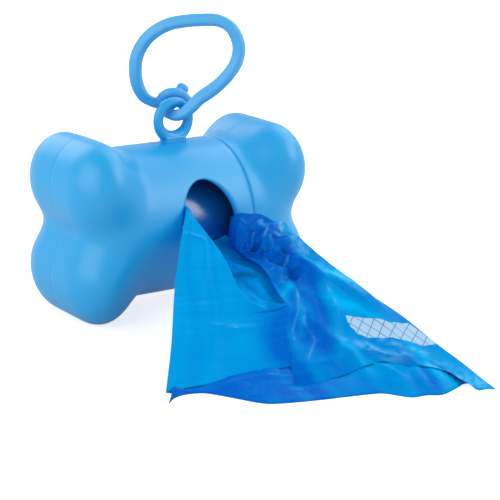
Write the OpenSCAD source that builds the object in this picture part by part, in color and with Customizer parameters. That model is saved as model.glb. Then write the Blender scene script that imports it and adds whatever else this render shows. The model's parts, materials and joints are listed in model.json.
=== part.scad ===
// Bone-shaped dispenser for a roll of pet waste bags.
// X runs along the bone with the pull-off end at +X, the dispensing opening faces -Y, and Z = 0 is the table.

/* [Bone casing] */
// Radius of the round barrel between the bone's ends
barrel_r = 23; // [22:0.5:26]
// Distance from the bone's middle to the centre of a knuckle, along X
lobe_x = 31.6; // [30:0.2:34]
// Height of a knuckle's centre above or below the barrel's axis
lobe_z = 13.7; // [12.5:0.1:15]
// Radius of a knuckle, seen from the front
lobe_r = 13.9; // [13.5:0.1:15.5]
// How much a knuckle is squashed along X, 1 for a round one
lobe_squash = 1.36; // [1.1:0.01:1.45]
// Half the straight run of a knuckle along Y, before its rounded ends
lobe_run = 8.3; // [6.5:0.1:10]
// Thickness of the moulded walls
wall = 2; // [1.6:0.1:2.4]
// Position along X of the seam between the casing and the cap
seam_x = 16; // [14:0.5:18]
// Width of the visible seam
seam_gap = 0.2; // [0.1:0.05:0.4]
// Depth of the flats on which the bottom knuckles stand
foot_cut = 0.5; // [0.3:0.1:1]
// Radius of the hollow where a knuckle meets its twin
knuckle_blend = 8.5; // [7:0.5:10]
// Radius of the hollow where the knuckles meet the barrel
barrel_blend = 7.3; // [6:0.1:8]

/* [Dispensing opening] */
// Width of the oval opening, along X
opening_w = 20; // [16:0.5:21]
// Height of the oval opening
opening_h = 29; // [24:0.5:31]

/* [Cap collar] */
// Depth of the step cut in the barrel's bore for the collar
socket_step = 0.2; // [0.1:0.05:0.4]
// Radial play between collar and bore
collar_play = 0.07; // [0.02:0.01:0.1]
// Length of collar inside the barrel
collar_plug = 5; // [4:0.5:5.5]
// Length of collar bonded inside the cap
collar_seat = 4; // [3:0.5:5]
// Thickness of the collar
collar_wall = 1.6; // [1.2:0.1:2]

/* [Eyelet] */
// Position of the eyelet along X
eyelet_x = 1; // [-2:0.5:2]
// Height of the ring's centre above the top of the barrel
eyelet_up = 6.9; // [6:0.1:8]
// Radius of the ring's centre line
eyelet_ring_r = 5.45; // [5:0.05:6]
// Radius of the ring's round wire
eyelet_wire_r = 1.55; // [1.3:0.05:1.7]
// Width of the foot, along X
foot_w = 7; // [6:0.2:8]
// Depth of the foot, along Y
foot_d = 4.2; // [3.6:0.1:5]
// Height of the foot's straight block above the barrel
foot_h = 1.6; // [1:0.1:2]
// Width of the foot where it flares into the ring
flare_w = 9.2; // [8.4:0.2:10]
// Depth below the ring's centre at which the flare ends
flare_drop = 3.2; // [2.8:0.1:3.6]

/* [Bag roll] */
// Outer radius of the wound roll
roll_r = 16.5; // [12:0.5:17]
// Length of the roll
roll_len = 61; // [58:0.5:61]
// How far the roll's axis lies below the barrel's axis
roll_drop = 2.2; // [1.5:0.1:2.4]
// Outer radius of the cardboard core
core_r = 5.4; // [5:0.1:6]
// Thickness of the cardboard
core_wall = 0.9; // [0.6:0.1:1.2]

/* [Drawn bag] */
// Thickness of the bag's film, drawn thicker than real film
bag_film = 0.9; // [0.7:0.1:1.2]
// Height of the crumpled swell beside the opening, 1 as drawn
bag_swell = 1; // [0.7:0.05:1.05]
// Clearance of the bag's lower end over the table
bag_float = 0.3; // [0.2:0.1:1]

/* [Strap clip] */
// How far the strap's loop faces away from the front, in degrees
strap_face_turn = -36.3; // [-45:0.1:-30]
// Radius of the eye's centre line
eye_ring_r = 4.2; // [4:0.1:4.6]
// Radius of the eye's round section
eye_wire_r = 1.6; // [1.4:0.1:1.7]

/* [Hidden] */
$fn = 96;

blue = [0.18, 0.62, 0.90];
clip_blue = [0.10, 0.60, 0.90];
film_blue = [0.02, 0.45, 0.85];
kraft = [0.62, 0.50, 0.36];

// The knuckles stand on the table by their flats, so this is the height of the barrel's axis
axis_z = lobe_z + lobe_r - foot_cut;
// Height of the eyelet's centre above that axis
eyelet_z = barrel_r + eyelet_up;

// Bone form, written as a distance field about the barrel's axis
// The barrel runs on inside the knuckles as far as core_x and is rounded there
core_x = 32;
core_round = 9.5;

function blend(a, b, k) = let (h = max(k - abs(a - b), 0) / k) min(a, b) - h * h * k / 4;

function knuckle(x, y, z) =
    norm([(x - lobe_x) * lobe_squash, max(abs(y) - lobe_run, 0), z - lobe_z]) - lobe_r;

function barrel(x, y, z) =
    let (across = norm([y, z]) - barrel_r + core_round, along = x - core_x + core_round)
    norm([max(across, 0), max(along, 0)]) + min(max(across, along), 0) - core_round;

function bone(x, y, z) =
    blend(blend(knuckle(x, y, z), knuckle(x, y, -z), knuckle_blend), barrel(x, y, z), barrel_blend);

// Distance from a point on the axis, along a direction, to the skin that lies deep under the surface
function reach(from, dir, deep, low = 0, high = 60, steps = 20) =
    let (mid = (low + high) / 2, p = from + dir * mid)
    steps == 0 ? mid
    : bone(abs(p.x), p.y, p.z) < -deep
        ? reach(from, dir, deep, mid, high, steps - 1)
        : reach(from, dir, deep, low, mid, steps - 1);

// Rays start on the axis, square to it along the barrel, then fan out from fan_x to the pole of the
// bone's end, and the barrel is a plain cylinder as far as straight_x
fan_x = 26.5;
straight_x = 14;
barrel_steps = 8;
fan_steps = 13;
around = 28;

// One entry per ring: where the rays start along X, counted towards the pole, and their lean to it
function rings(mouth, first) = concat(
    [[mouth, 0]],
    [for (i = [0:barrel_steps]) [first + (fan_x - first) * i / barrel_steps, 0]],
    [for (i = [1:fan_steps - 1]) [fan_x, 90 * i / fan_steps]]);

// Half of a skin, front (face = -1) or back (face = 1), from the mouth to the pole at end * X
function half_skin(ring_list, face, end, deep) = concat(
    [for (s = ring_list) for (j = [0:around])
        let (turn = 180 * j / around,
             dir = [end * sin(s[1]), cos(s[1]) * face * sin(turn), cos(s[1]) * cos(turn)],
             from = [end * s[0], 0, 0])
        from + dir * reach(from, dir, deep)],
    [let (from = [end * fan_x, 0, 0]) from + [end, 0, 0] * reach(from, [end, 0, 0], deep)]);

// One closed half shell: outer skin, inner skin, both edges on the split plane, and the mouth
module half_shell(mouth, first, face, end) {
    ring_list = rings(mouth, first);
    n = around + 1;
    m = len(ring_list);
    skin = m * n + 1;
    function quad(a, b, c, d) = [[a, b, c], [a, c, d]];
    skin_faces = concat(
        [for (i = [0:m - 2]) for (j = [0:around - 1])
            each quad(i * n + j, (i + 1) * n + j, (i + 1) * n + j + 1, i * n + j + 1)],
        [for (j = [0:around - 1]) [(m - 1) * n + j, skin - 1, (m - 1) * n + j + 1]]);
    rim = [for (i = [0:m - 1]) i * n];
    top_edge = concat(rim, [skin - 1]);
    bottom_edge = concat([for (i = rim) i + around], [skin - 1]);
    edges = concat(
        [for (i = [0:m - 1]) let (a = top_edge[i], b = top_edge[i + 1]) each quad(a, a + skin, b + skin, b)],
        [for (i = [0:m - 1])
            let (a = bottom_edge[i], b = bottom_edge[i + 1]) each quad(a, b, b + skin, a + skin)]);
    mouth_faces = [for (j = [0:around - 1]) each quad(j, j + 1, j + 1 + skin, j + skin)];
    faces = concat(
        skin_faces,
        [for (f = skin_faces) [f[2] + skin, f[1] + skin, f[0] + skin]],
        edges, mouth_faces);
    polyhedron(
        points = concat(half_skin(ring_list, face, end, 0), half_skin(ring_list, face, end, wall)),
        faces = face * end < 0 ? faces : [for (f = faces) [f[2], f[1], f[0]]]);
}

module along_x(x) {
    translate([x, 0, 0]) rotate([0, 90, 0]) children();
}

module below_table() {
    slab = [100, 60, 10];
    translate([-slab.x / 2, -slab.y / 2, -slab.z]) cube(slab);
}

// The collar slides in a bore of radius socket_r, with a little room behind its free end, and its
// bonded end is slightly thicker
socket_r = barrel_r - wall + socket_step;
seat_r = socket_r + 0.1;
collar_end_room = 0.3;

// Casing half: the mouth is at +X, the closed bone end at -X
module casing_half(face) {
    difference() {
        translate([0, 0, axis_z]) half_shell(-seam_x + seam_gap / 2, straight_x, face, -1);
        translate([0, 0, axis_z]) along_x(seam_x - collar_plug - collar_end_room)
            cylinder(r = socket_r, h = 2 * collar_plug);
        translate([eyelet_x, 0, axis_z + barrel_r]) cube([foot_w, foot_d, 4 * wall], center = true);
        below_table();
    }
}

module casing_front() {
    color(blue) difference() {
        casing_half(-1);
        translate([0, -barrel_r / 2, axis_z]) rotate([90, 0, 0])
            linear_extrude(barrel_r) scale([1, opening_h / opening_w]) circle(d = opening_w);
    }
}

module casing_back() {
    color(blue) casing_half(1);
}

// Cap half: the mouth is at the seam, the closed bone end at +X
module cap_half(face) {
    color(blue) difference() {
        translate([0, 0, axis_z]) half_shell(seam_x + seam_gap / 2, seam_x + 1.5, face, 1);
        translate([0, 0, axis_z]) along_x(seam_x - 1) cylinder(r = seat_r, h = collar_seat + 1);
        below_table();
    }
}

module cap_front() {
    cap_half(-1);
}

module cap_back() {
    cap_half(1);
}

// Spigot: the thinner end slides in the barrel's bore, the thicker end is bonded in the cap's mouth
module cap_collar() {
    plug_r = socket_r - collar_play;
    chamfer = 0.5;
    mouth = seam_x + seam_gap / 2;
    color(blue) translate([0, 0, axis_z]) along_x(0) rotate_extrude()
        polygon([
            [plug_r - collar_wall, seam_x - collar_plug],
            [plug_r - chamfer, seam_x - collar_plug],
            [plug_r, seam_x - collar_plug + chamfer],
            [plug_r, mouth],
            [seat_r, mouth],
            [seat_r, seam_x + collar_seat],
            [plug_r - collar_wall, seam_x + collar_seat]]);
}

// Ring on a square foot whose tab is held between the two casing halves
module eyelet() {
    block_z = barrel_r + foot_h;
    neck_z = eyelet_z - flare_drop;
    tab_z = barrel_r - wall + 0.1;
    hole_r = eyelet_ring_r - eyelet_wire_r + 0.1;
    color(blue) translate([eyelet_x, 0, axis_z]) difference() {
        union() {
            translate([0, 0, eyelet_z]) rotate([90, 0, 0])
                rotate_extrude() translate([eyelet_ring_r, 0]) circle(r = eyelet_wire_r, $fn = 48);
            intersection() {
                foot_side(foot_w / 2, flare_w / 2, tab_z, block_z, neck_z, foot_d);
                rotate([0, 0, 90]) foot_side(foot_d / 2, eyelet_wire_r, tab_z, block_z, neck_z, flare_w);
            }
        }
        translate([0, 0, eyelet_z]) rotate([90, 0, 0]) cylinder(r = hole_r, h = 2 * foot_d, center = true);
    }
}

// One view of the foot: a straight block from tab_z to block_z, then a slope to its top at neck_z
module foot_side(half_w, top_half_w, tab_z, block_z, neck_z, deep) {
    rotate([90, 0, 0]) linear_extrude(deep, center = true)
        polygon([[-half_w, tab_z], [half_w, tab_z], [half_w, block_z],
                 [top_half_w, neck_z], [-top_half_w, neck_z], [-half_w, block_z]]);
}

module roll_core() {
    color(kraft) translate([-roll_len / 2, 0, axis_z - roll_drop]) rotate([0, 90, 0]) difference() {
        cylinder(r = core_r, h = roll_len);
        translate([0, 0, -1]) cylinder(r = core_r - core_wall, h = roll_len + 2);
    }
}

module bag_roll() {
    color(film_blue) translate([-roll_len / 2, 0, axis_z - roll_drop]) rotate([0, 90, 0]) difference() {
        cylinder(r = roll_r, h = roll_len);
        translate([0, 0, -1]) cylinder(r = core_r, h = roll_len + 2);
    }
}

// Drawn bag: lines that run down the film from the opening to the upper layer's hem, as points from
// the barrel's axis. The flap lies between bag_left and bag_fold, the pocket between bag_fold and
// bag_pocket, and the swell rises from bag_pocket over bag_ridge and falls to bag_right
bag_left = [[-6.8, -17.2, 7.8], [-7.3, -21.5, 8], [-12.5, -27.2, 4.4], [-17.5, -33, 0], [-23.5, -40, -5.2],
            [-29.5, -47.8, -10.4], [-35.2, -55.5, -15.8], [-40.8, -62.8, -21.2], [-46.3, -70, -25.4]];
bag_fold = [[-5.2, -17.2, 6.6], [-6.3, -21.5, 7.1], [-8.2, -28, 5], [-8.3, -36, 1], [-9.2, -45, -3.8],
            [-11, -55, -9.3], [-2.8, -64.5, -11.7], [-8, -72.5, -17.2], [-13.4, -81, -22.9]];
bag_pocket = [[5.6, -17.2, -6], [6.6, -21.5, -5.4], [5.6, -28, -5.4], [3.8, -35.5, -5.5], [2.4, -44, -5.9],
              [0.3, -54, -8.3], [-1.8, -64.6, -11.4], [-7, -72.6, -17], [-12.4, -81.6, -22.9]];
bag_ridge = [[6.4, -17.2, -1], [7, -21.5, 2.6], [7.4, -28, 5.2], [10, -34, 5], [11.8, -44, 1],
             [12.1, -56, -3.4], [10.6, -68, -7.9], [6.5, -79.5, -14.2], [-1, -91, -22]];
bag_right = [[7.4, -17.2, -3.6], [8.5, -21.5, -3.4], [12.2, -28, -1.8], [13.6, -38, 0.2], [13.2, -50, -0.8],
             [17, -65, -6], [22, -80, -11.9], [26.5, -98, -19.5], [29.4, -110.5, -24.4]];
// Depth of the pocket's floor and of the lower layer's underside below the pocket's edges
pocket_deep = [4.4, 4.8, 7.6, 8.1, 7.5, 6.2, 0.4, 0.4, 0.4];
base_deep = [5.3, 5.7, 8.5, 9, 8.4, 7.4, 7, 6.6, 2.9];
// Hem of the lower layer, along X and Y, from the left corner to the right
low_hem = [[-51, -78], [-33, -86.5], [-22, -94.4], [-19.5, -94.8], [-17, -95.2], [-14.5, -95.6],
           [-12, -96], [-5, -98.6], [3, -103.2], [14, -110.4], [30.6, -115.9]];
pocket_sides = [0, 0.12, 0.5, 0.88, 1];
pocket_round = 0.25;
swell_round = 0.14;
flap_crown = 0.6;
bag_steps = 16;
hem_step = 0.35;
hem_lip = 0.6;

// Point at the share t of a line, from its first point to its last
function down_line(line, t) =
    let (last = len(line) - 1, i = min(floor(t * last), last - 1))
    spline(line, i, t * last - i);
// Points across the pocket, sunk below the straight line between its edges
function across_pocket(from, to, deep) = [for (k = pocket_sides)
    from + (to - from) * k - [0, 0, deep * (1 - pocket_round * pow(2 * k - 1, 2))]];

// One row across the bag at the share t, as [points of its top, points of its underside]
function bag_row(t) =
    let (left = down_line(bag_left, t), fold = down_line(bag_fold, t), pocket = down_line(bag_pocket, t),
         right = down_line(bag_right, t), ridge_line = down_line(bag_ridge, t),
         base_z = (pocket[2] + right[2]) / 2, swell = (ridge_line[2] - base_z) * bag_swell,
         ridge = [ridge_line[0], ridge_line[1], base_z + swell],
         sunk = across_pocket(fold, pocket, max(down_line(pocket_deep, t), 0.3)),
         under = across_pocket(fold, pocket, down_line(base_deep, t)),
         arch = [0, 0, swell_round * swell],
         top = [left, (left + fold) / 2 + [0, 0, flap_crown * sin(180 * t)], fold,
                sunk[1], sunk[2], sunk[3], pocket,
                (pocket + ridge) / 2 + arch, ridge, (ridge + right) / 2 + arch, right],
         left_z = left[2] - bag_film, right_z = right[2] - bag_film, last_z = under[4][2],
         base = [left_z, (left_z + under[0][2]) / 2, each [for (u = under) u[2]],
                 for (k = [1:4]) last_z + (right_z - last_z) * k / 4])
    [top, [for (j = [0:len(top) - 1]) [top[j][0], top[j][1], base[j]]]];

// Rows beyond the upper hem, where only the lower layer lies on the table
function hem_row(t) =
    let (table = bag_float - axis_z, upper = bag_row(1)[0],
         spots = [for (j = [0:len(low_hem) - 1])
             [upper[j][0] * (1 - t) + low_hem[j][0] * t, upper[j][1] * (1 - t) + low_hem[j][1] * t]],
         high = table + bag_film + (1 - t) * hem_lip)
    [[for (p = spots) [p[0], p[1], high]], [for (p = spots) [p[0], p[1], table]]];

module drawn_bag() {
    rows = concat([for (i = [0:bag_steps]) bag_row(i / bag_steps)], [hem_row(hem_step), hem_row(1)]);
    n = len(low_hem);
    end = (len(rows) - 1) * n;
    side = len(rows) * n;
    function quad(a, b, c, d) = [[c, b, a], [d, c, a]];
    sheet = [for (i = [0:len(rows) - 2]) for (j = [0:n - 2])
        each quad(i * n + j, (i + 1) * n + j, (i + 1) * n + j + 1, i * n + j + 1)];
    ends = [for (j = [0:n - 2])
        let (a = j, b = end + j)
        each concat(quad(a, a + 1, a + 1 + side, a + side), quad(b, b + side, b + 1 + side, b + 1))];
    sides = [for (i = [0:len(rows) - 2])
        let (a = i * n, b = i * n + n - 1)
        each concat(quad(a, a + side, a + n + side, a + n), quad(b, b + n, b + n + side, b + side))];
    color(film_blue) translate([0, 0, axis_z]) polyhedron(
        points = [for (layer = [0, 1]) for (row = rows) each row[layer]],
        faces = concat(sheet, [for (f = sheet) [f[2] + side, f[1] + side, f[0] + side]], ends, sides));
}

// Strap: [along the loop's face, behind it, up, half width, half depth] from the eyelet's centre,
// from the eye round the loop, through the eyelet and through the eye to the tip of the tail
strap = [
    [-4.4, 6.4, 3.8, 1.5, 1.5], [-6.6, 5.2, 4.3, 1.6, 1.6], [-9.3, 3.8, 6.2, 1.8, 1.7],
    [-11.2, 2.4, 10, 2.1, 1.8], [-11.8, 1.4, 14.4, 2.2, 1.8], [-11.3, 0.8, 18.8, 2.2, 1.8],
    [-9.2, 0.4, 23.5, 2.2, 1.8], [-6, 0.2, 27.2, 2.2, 1.8], [-1.8, 0, 30.2, 2.2, 1.8],
    [3, 0, 31.9, 2.2, 1.8], [8, 0, 32.7, 2.2, 1.8], [13, 0, 33.1, 2.2, 1.8],
    [17, 0, 31.9, 2.2, 1.8], [19.8, 0, 28.8, 2.2, 1.8], [21, 0, 24.8, 2.2, 1.8],
    [20.3, 0, 20.4, 2.2, 1.8], [18.2, 0, 16.4, 2.2, 1.8], [15, 0, 12.2, 2.2, 1.8],
    [11.3, -0.6, 9.2, 2.1, 1.8], [8, -1.2, 7, 2, 1.8], [5.7, -1.6, 4.5, 1.8, 1.7],
    [3, -1.6, 2.2, 1.7, 1.6], [0.2, -0.2, 1.3, 1.6, 1.6], [-2, 1.8, 1.8, 1.5, 1.5],
    [-2.2, 4.4, 2.7, 1.45, 1.45], [-0.2, 6.6, 4, 1.45, 1.45], [1.8, 8.3, 6.2, 1.45, 1.45],
    [3.4, 9, 8.6, 1.4, 1.4]];
eye_centre = [-0.2, 6.5, 3.7];
eye_tilt = 65;
strap_sides = 12;
strap_steps = 3;

function spline(list, i, t) =
    let (last = len(list) - 1, a = list[max(i - 1, 0)], b = list[i], c = list[i + 1],
         d = list[min(i + 2, last)])
    0.5 * (2 * b + (c - a) * t + (2 * a - 5 * b + 4 * c - d) * t * t + (3 * b - 3 * c + d - a) * t * t * t);

function unit(v) = v / norm(v);

// Carry one side vector along the path without twist
function carried(tangents, side, i = 0, out = []) =
    i == len(tangents) ? out
    : let (next = unit(side - tangents[i] * (side * tangents[i])))
        carried(tangents, next, i + 1, concat(out, [next]));

module strap_sweep() {
    path = concat(
        [for (i = [0:len(strap) - 2]) for (k = [0:strap_steps - 1]) spline(strap, i, k / strap_steps)],
        [strap[len(strap) - 1]]);
    last = len(path) - 1;
    spots = [for (p = path) [p[0], p[1], p[2]]];
    tangents = [for (i = [0:last]) unit(spots[min(i + 1, last)] - spots[max(i - 1, 0)])];
    depth = carried(tangents, [0, 1, 0]);
    // The tail's end closes in a half round of three short rings
    round_end = [for (a = [30, 60]) [spots[last] + tangents[last] * 1.3 * sin(a), cos(a)]];
    rings = concat(
        [for (i = [0:last]) [spots[i], path[i][3], path[i][4], i]],
        [for (e = round_end) [e[0], path[last][3] * e[1], path[last][4] * e[1], last]]);
    points = concat(
        [for (r = rings) for (k = [0:strap_sides - 1])
            let (a = 360 * k / strap_sides,
                 across = cross(tangents[r[3]], depth[r[3]]))
            r[0] + across * r[1] * sign(cos(a)) * pow(abs(cos(a)), 0.8)
                + depth[r[3]] * r[2] * sign(sin(a)) * pow(abs(sin(a)), 0.8)],
        [spots[0] - tangents[0] * 0.8, spots[last] + tangents[last] * 1.4]);
    n = strap_sides;
    m = len(rings);
    side_faces = [for (i = [0:m - 2]) for (k = [0:n - 1])
        let (a = i * n + k, b = i * n + (k + 1) % n)
        each [[a, b, b + n], [a, b + n, a + n]]];
    end_faces = [for (k = [0:n - 1]) each [
        [m * n, (k + 1) % n, k],
        [m * n + 1, (m - 1) * n + k, (m - 1) * n + (k + 1) % n]]];
    polyhedron(points = points, faces = concat(side_faces, end_faces));
}

module clip_loop() {
    color(clip_blue) translate([eyelet_x, 0, axis_z + eyelet_z]) rotate([0, 0, strap_face_turn]) {
        strap_sweep();
        translate(eye_centre) rotate([-eye_tilt, 0, 0]) rotate_extrude()
            translate([eye_ring_r, 0]) circle(r = eye_wire_r, $fn = 32);
    }
}

casing_front();
casing_back();
eyelet();
cap_front();
cap_back();
cap_collar();
roll_core();
bag_roll();
drawn_bag();
clip_loop();
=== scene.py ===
# %% [markdown]
# # A bone-shaped dispenser for pet waste bags
#
# The real object is a hollow bone of blue moulded plastic, about 84 mm long, that holds a roll of
# thin film bags. One end of the bone pulls off, a bag comes out of an oval opening in the barrel,
# and a soft strap closes through an eyelet on top. Each piece below is built round the frame that
# the CAD gives, in its own place, so that every piece but the film moves with the body it belongs
# to.

# %% Load the imported model as a fixed frame
import json
import math

import bpy
import bmesh
import numpy as np
from mathutils import Matrix, Vector, noise
from mathutils.bvhtree import BVHTree


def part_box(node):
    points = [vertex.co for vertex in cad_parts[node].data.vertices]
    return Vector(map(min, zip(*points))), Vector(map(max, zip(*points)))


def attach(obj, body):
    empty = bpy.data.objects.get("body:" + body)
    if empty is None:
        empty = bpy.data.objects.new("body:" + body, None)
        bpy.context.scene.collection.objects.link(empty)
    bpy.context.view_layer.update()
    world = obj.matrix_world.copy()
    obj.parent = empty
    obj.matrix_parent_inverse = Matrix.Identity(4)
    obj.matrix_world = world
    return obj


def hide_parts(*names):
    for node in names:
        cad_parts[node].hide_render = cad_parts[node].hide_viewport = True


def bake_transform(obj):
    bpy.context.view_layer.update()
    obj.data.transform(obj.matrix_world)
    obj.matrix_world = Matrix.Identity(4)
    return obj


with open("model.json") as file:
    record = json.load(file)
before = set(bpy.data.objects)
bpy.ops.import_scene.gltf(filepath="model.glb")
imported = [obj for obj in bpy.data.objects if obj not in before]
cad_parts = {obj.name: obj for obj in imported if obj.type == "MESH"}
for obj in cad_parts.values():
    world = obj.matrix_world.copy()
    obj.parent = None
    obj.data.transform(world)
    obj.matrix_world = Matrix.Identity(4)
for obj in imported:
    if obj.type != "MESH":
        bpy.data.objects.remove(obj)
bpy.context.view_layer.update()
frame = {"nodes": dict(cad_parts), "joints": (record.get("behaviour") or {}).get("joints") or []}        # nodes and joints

# %% [markdown]
# ## Sizes
#
# All shapes below are written in millimetres about the barrel's axis, because the bone is
# symmetric about it, and are moved up and made metres when their mesh is made. The axis, the
# eyelet's centre and the roll's axis come from the frame, and the bone's own sizes are those of
# its CAD source.

# %% Sizes taken from the frame, and the bone's driving sizes
MM = 0.001
joints = {joint["name"]: joint for joint in frame["joints"]}
collar_low, collar_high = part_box("cap_collar")
AXIS_Z = (collar_low.z + collar_high.z) / 2 / MM
EYE_X = joints["clip_swing"]["pos_m"][0] / MM
EYE_Z = joints["clip_swing"]["pos_m"][2] / MM - AXIS_Z
ROLL_Z = joints["roll_spin"]["pos_m"][2] / MM - AXIS_Z
roll_low, roll_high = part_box("bag_roll")
ROLL_R = (roll_high.y - roll_low.y) / 2 / MM
ROLL_LONG = (roll_high.x - roll_low.x) / MM

BARREL_R = 23.0
LOBE_X, LOBE_Z, LOBE_R, LOBE_SQUASH, LOBE_RUN = 31.6, 13.7, 13.9, 1.36, 8.3
KNUCKLE_BLEND, BARREL_BLEND = 8.5, 7.3
CORE_X, CORE_ROUND = 32.0, 9.5
WALL = 2.0
BORE_WALL = 1.8
SEAM_X, SEAM_GAP = 16.0, 0.2
OPENING_HALF_W, OPENING_HALF_H = 10.0, 14.5
print(f"barrel axis {AXIS_Z:.2f} mm over the table")
print(f"eyelet {EYE_Z:.2f} mm and roll {ROLL_Z:.2f} mm from the axis")

# %% [markdown]
# ## Camera
#
# The camera stands in front and to the left, looks slightly down, and is turned a little about its
# own line of sight. Its distance and lens are those of a long product lens, so the near and far
# knuckles differ only a little in size. It's made first, because everything else is judged through
# it.

# %% The camera
CAMERA_AZIMUTH = math.radians(-36.3)
CAMERA_ELEVATION = math.radians(15.7)
CAMERA_ROLL = math.radians(1.55)
CAMERA_DISTANCE = 537.4
LENS_MM = 119.35
LOOK_AT = Vector((31.5, 0, AXIS_Z - 16.0))


def make_camera():
    """The camera at the photograph's angle, aimed at LOOK_AT"""
    flat = Vector((math.sin(CAMERA_AZIMUTH), -math.cos(CAMERA_AZIMUTH), 0))
    back = flat * math.cos(CAMERA_ELEVATION) + Vector((0, 0, math.sin(CAMERA_ELEVATION)))
    right = Vector((math.cos(CAMERA_AZIMUTH), math.sin(CAMERA_AZIMUTH), 0))
    up = back.cross(right)
    turned_right = right * math.cos(CAMERA_ROLL) + up * math.sin(CAMERA_ROLL)
    turned_up = up * math.cos(CAMERA_ROLL) - right * math.sin(CAMERA_ROLL)
    camera = bpy.data.objects.new("camera", bpy.data.cameras.new("camera"))
    bpy.context.scene.collection.objects.link(camera)
    axes = Matrix((turned_right, turned_up, back)).transposed().to_4x4()
    camera.matrix_world = Matrix.Translation((LOOK_AT + back * CAMERA_DISTANCE) * MM) @ axes
    camera.data.lens = LENS_MM
    camera.data.sensor_width = 36
    camera.data.clip_start, camera.data.clip_end = 0.01, 20
    bpy.context.scene.camera = camera
    return camera


camera = make_camera()
print("camera stands at", [round(v, 3) for v in camera.matrix_world.translation])

# %% [markdown]
# ## Meshes from grids of points
#
# The bone's skin, the strap and the film are all grids of points that follow a rule. Two helpers
# turn such points into finished objects: one makes the mesh, merges the points that meet and turns
# the faces outwards, and one rebuilds overlapping closed parts as one skin with softly filled
# joints.

# %% Mesh helpers


def grid_faces(rows, columns, start=0, closed=False, keep=lambda i, j: True):
    """Quads of a grid whose points are numbered row by row"""
    across = columns if closed else columns - 1
    faces = []
    for i in range(rows - 1):
        for j in range(across):
            if keep(i, j):
                a, b = start + i * columns + j, start + i * columns + (j + 1) % columns
                faces.append((a, a + columns, b + columns, b))
    return faces


def make_piece(name, points, faces, merge=0.0, outward=True, marks=None):
    """An object from points in millimetres about the barrel's axis, shaded smooth. marks are
    attributes of the points, by name"""
    lifted = (np.asarray(points, float) + [0, 0, AXIS_Z]) * MM
    mesh = bpy.data.meshes.new(name)
    mesh.from_pydata(lifted.tolist(), [], faces)
    for label, values in (marks or {}).items():
        mesh.attributes.new(label, "FLOAT", "POINT").data.foreach_set("value", values)
    work = bmesh.new()
    work.from_mesh(mesh)
    if merge:
        bmesh.ops.remove_doubles(work, verts=work.verts, dist=merge * MM)
    if outward:
        bmesh.ops.recalc_face_normals(work, faces=work.faces)
    work.to_mesh(mesh)
    work.free()
    mesh.polygons.foreach_set("use_smooth", [True] * len(mesh.polygons))
    obj = bpy.data.objects.new(name, mesh)
    bpy.context.scene.collection.objects.link(obj)
    return obj


def bake_modifiers(obj):
    """Turn an object's live modifiers into its own plain mesh"""
    depsgraph = bpy.context.evaluated_depsgraph_get()
    baked = bpy.data.meshes.new_from_object(obj.evaluated_get(depsgraph), depsgraph=depsgraph)
    obj.modifiers.clear()
    obj.data = baked
    return obj


def fuse(obj, voxel, relax):
    """Rebuild overlapping closed parts as one skin whose inner corners are softly filled"""
    skin = obj.modifiers.new("skin", "REMESH")
    skin.mode, skin.voxel_size, skin.use_smooth_shade = "VOXEL", voxel * MM, True
    soften = obj.modifiers.new("soften", "SMOOTH")
    soften.iterations, soften.factor = relax, 0.5
    return bake_modifiers(obj)


def triangles(obj):
    """How many triangles an object has"""
    return sum(len(polygon.vertices) - 2 for polygon in obj.data.polygons)


# %% [markdown]
# ## The bone's form
#
# The casing is a round barrel with two squashed knuckles at each end, all flowing into each other.
# A subdivision cage could be pulled into that shape, but a distance field says it in a few lines:
# a knuckle and a barrel are each a distance, and a smooth minimum fills the hollows between them.
# Rays from the axis then find the skin at any depth, which gives the outer and the inner wall
# alike.

# %% The bone as a distance field
RAY_REACH, HALVINGS = 60.0, 30


def smooth_min(a, b, k):
    """The smaller of two distances, with the corner between them filled to a radius of about k"""
    h = np.maximum(k - np.abs(a - b), 0) / k
    return np.minimum(a, b) - h * h * k / 4


def knuckle(x, y, z):
    """Distance to a knuckle: squashed along X, with a straight run along Y"""
    beyond = np.maximum(np.abs(y) - LOBE_RUN, 0)
    return np.sqrt(((x - LOBE_X) * LOBE_SQUASH) ** 2 + beyond ** 2 + (z - LOBE_Z) ** 2) - LOBE_R


def barrel(x, y, z):
    """Distance to the barrel, whose rounded end lies inside the knuckles"""
    across = np.hypot(y, z) - BARREL_R + CORE_ROUND
    along = x - CORE_X + CORE_ROUND
    outside = np.hypot(np.maximum(across, 0), np.maximum(along, 0))
    return outside + np.minimum(np.maximum(across, along), 0) - CORE_ROUND


def bone(points):
    """Distance to the whole bone's skin, negative inside"""
    x, y, z = np.abs(points[..., 0]), points[..., 1], points[..., 2]
    twins = smooth_min(knuckle(x, y, z), knuckle(x, y, -z), KNUCKLE_BLEND)
    return smooth_min(twins, barrel(x, y, z), BARREL_BLEND)


def skin_grid(stations, turns, face, end, deep):
    """Points of a half skin. A station is (start along X, lean towards the pole), a turn runs from
    the top (0) over the front or back to the bottom (180), deep is the depth under the outside"""
    start_x, lean = np.array(stations).T
    lean, turn = np.radians(lean)[:, None], np.radians(turns)[None, :]
    start = np.zeros((len(stations), len(turns), 3))
    start[..., 0] = end * start_x[:, None]
    ray = np.stack([end * np.sin(lean) + 0 * turn,
                    face * np.cos(lean) * np.sin(turn),
                    np.cos(lean) * np.cos(turn)], axis=-1)
    near, far = np.zeros(start.shape[:2]), np.full(start.shape[:2], RAY_REACH)
    for _ in range(HALVINGS):
        middle = (near + far) / 2
        inside = bone(start + ray * middle[..., None]) < -np.asarray(deep)
        near, far = np.where(inside, middle, near), np.where(inside, far, middle)
    return start + ray * near[..., None]


knuckle_top = skin_grid([(LOBE_X, 0)], [0], -1, 1, 0)[0, 0, 2]
print(f"knuckle's end lies {knuckle_top:.1f} mm above the axis")

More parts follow.
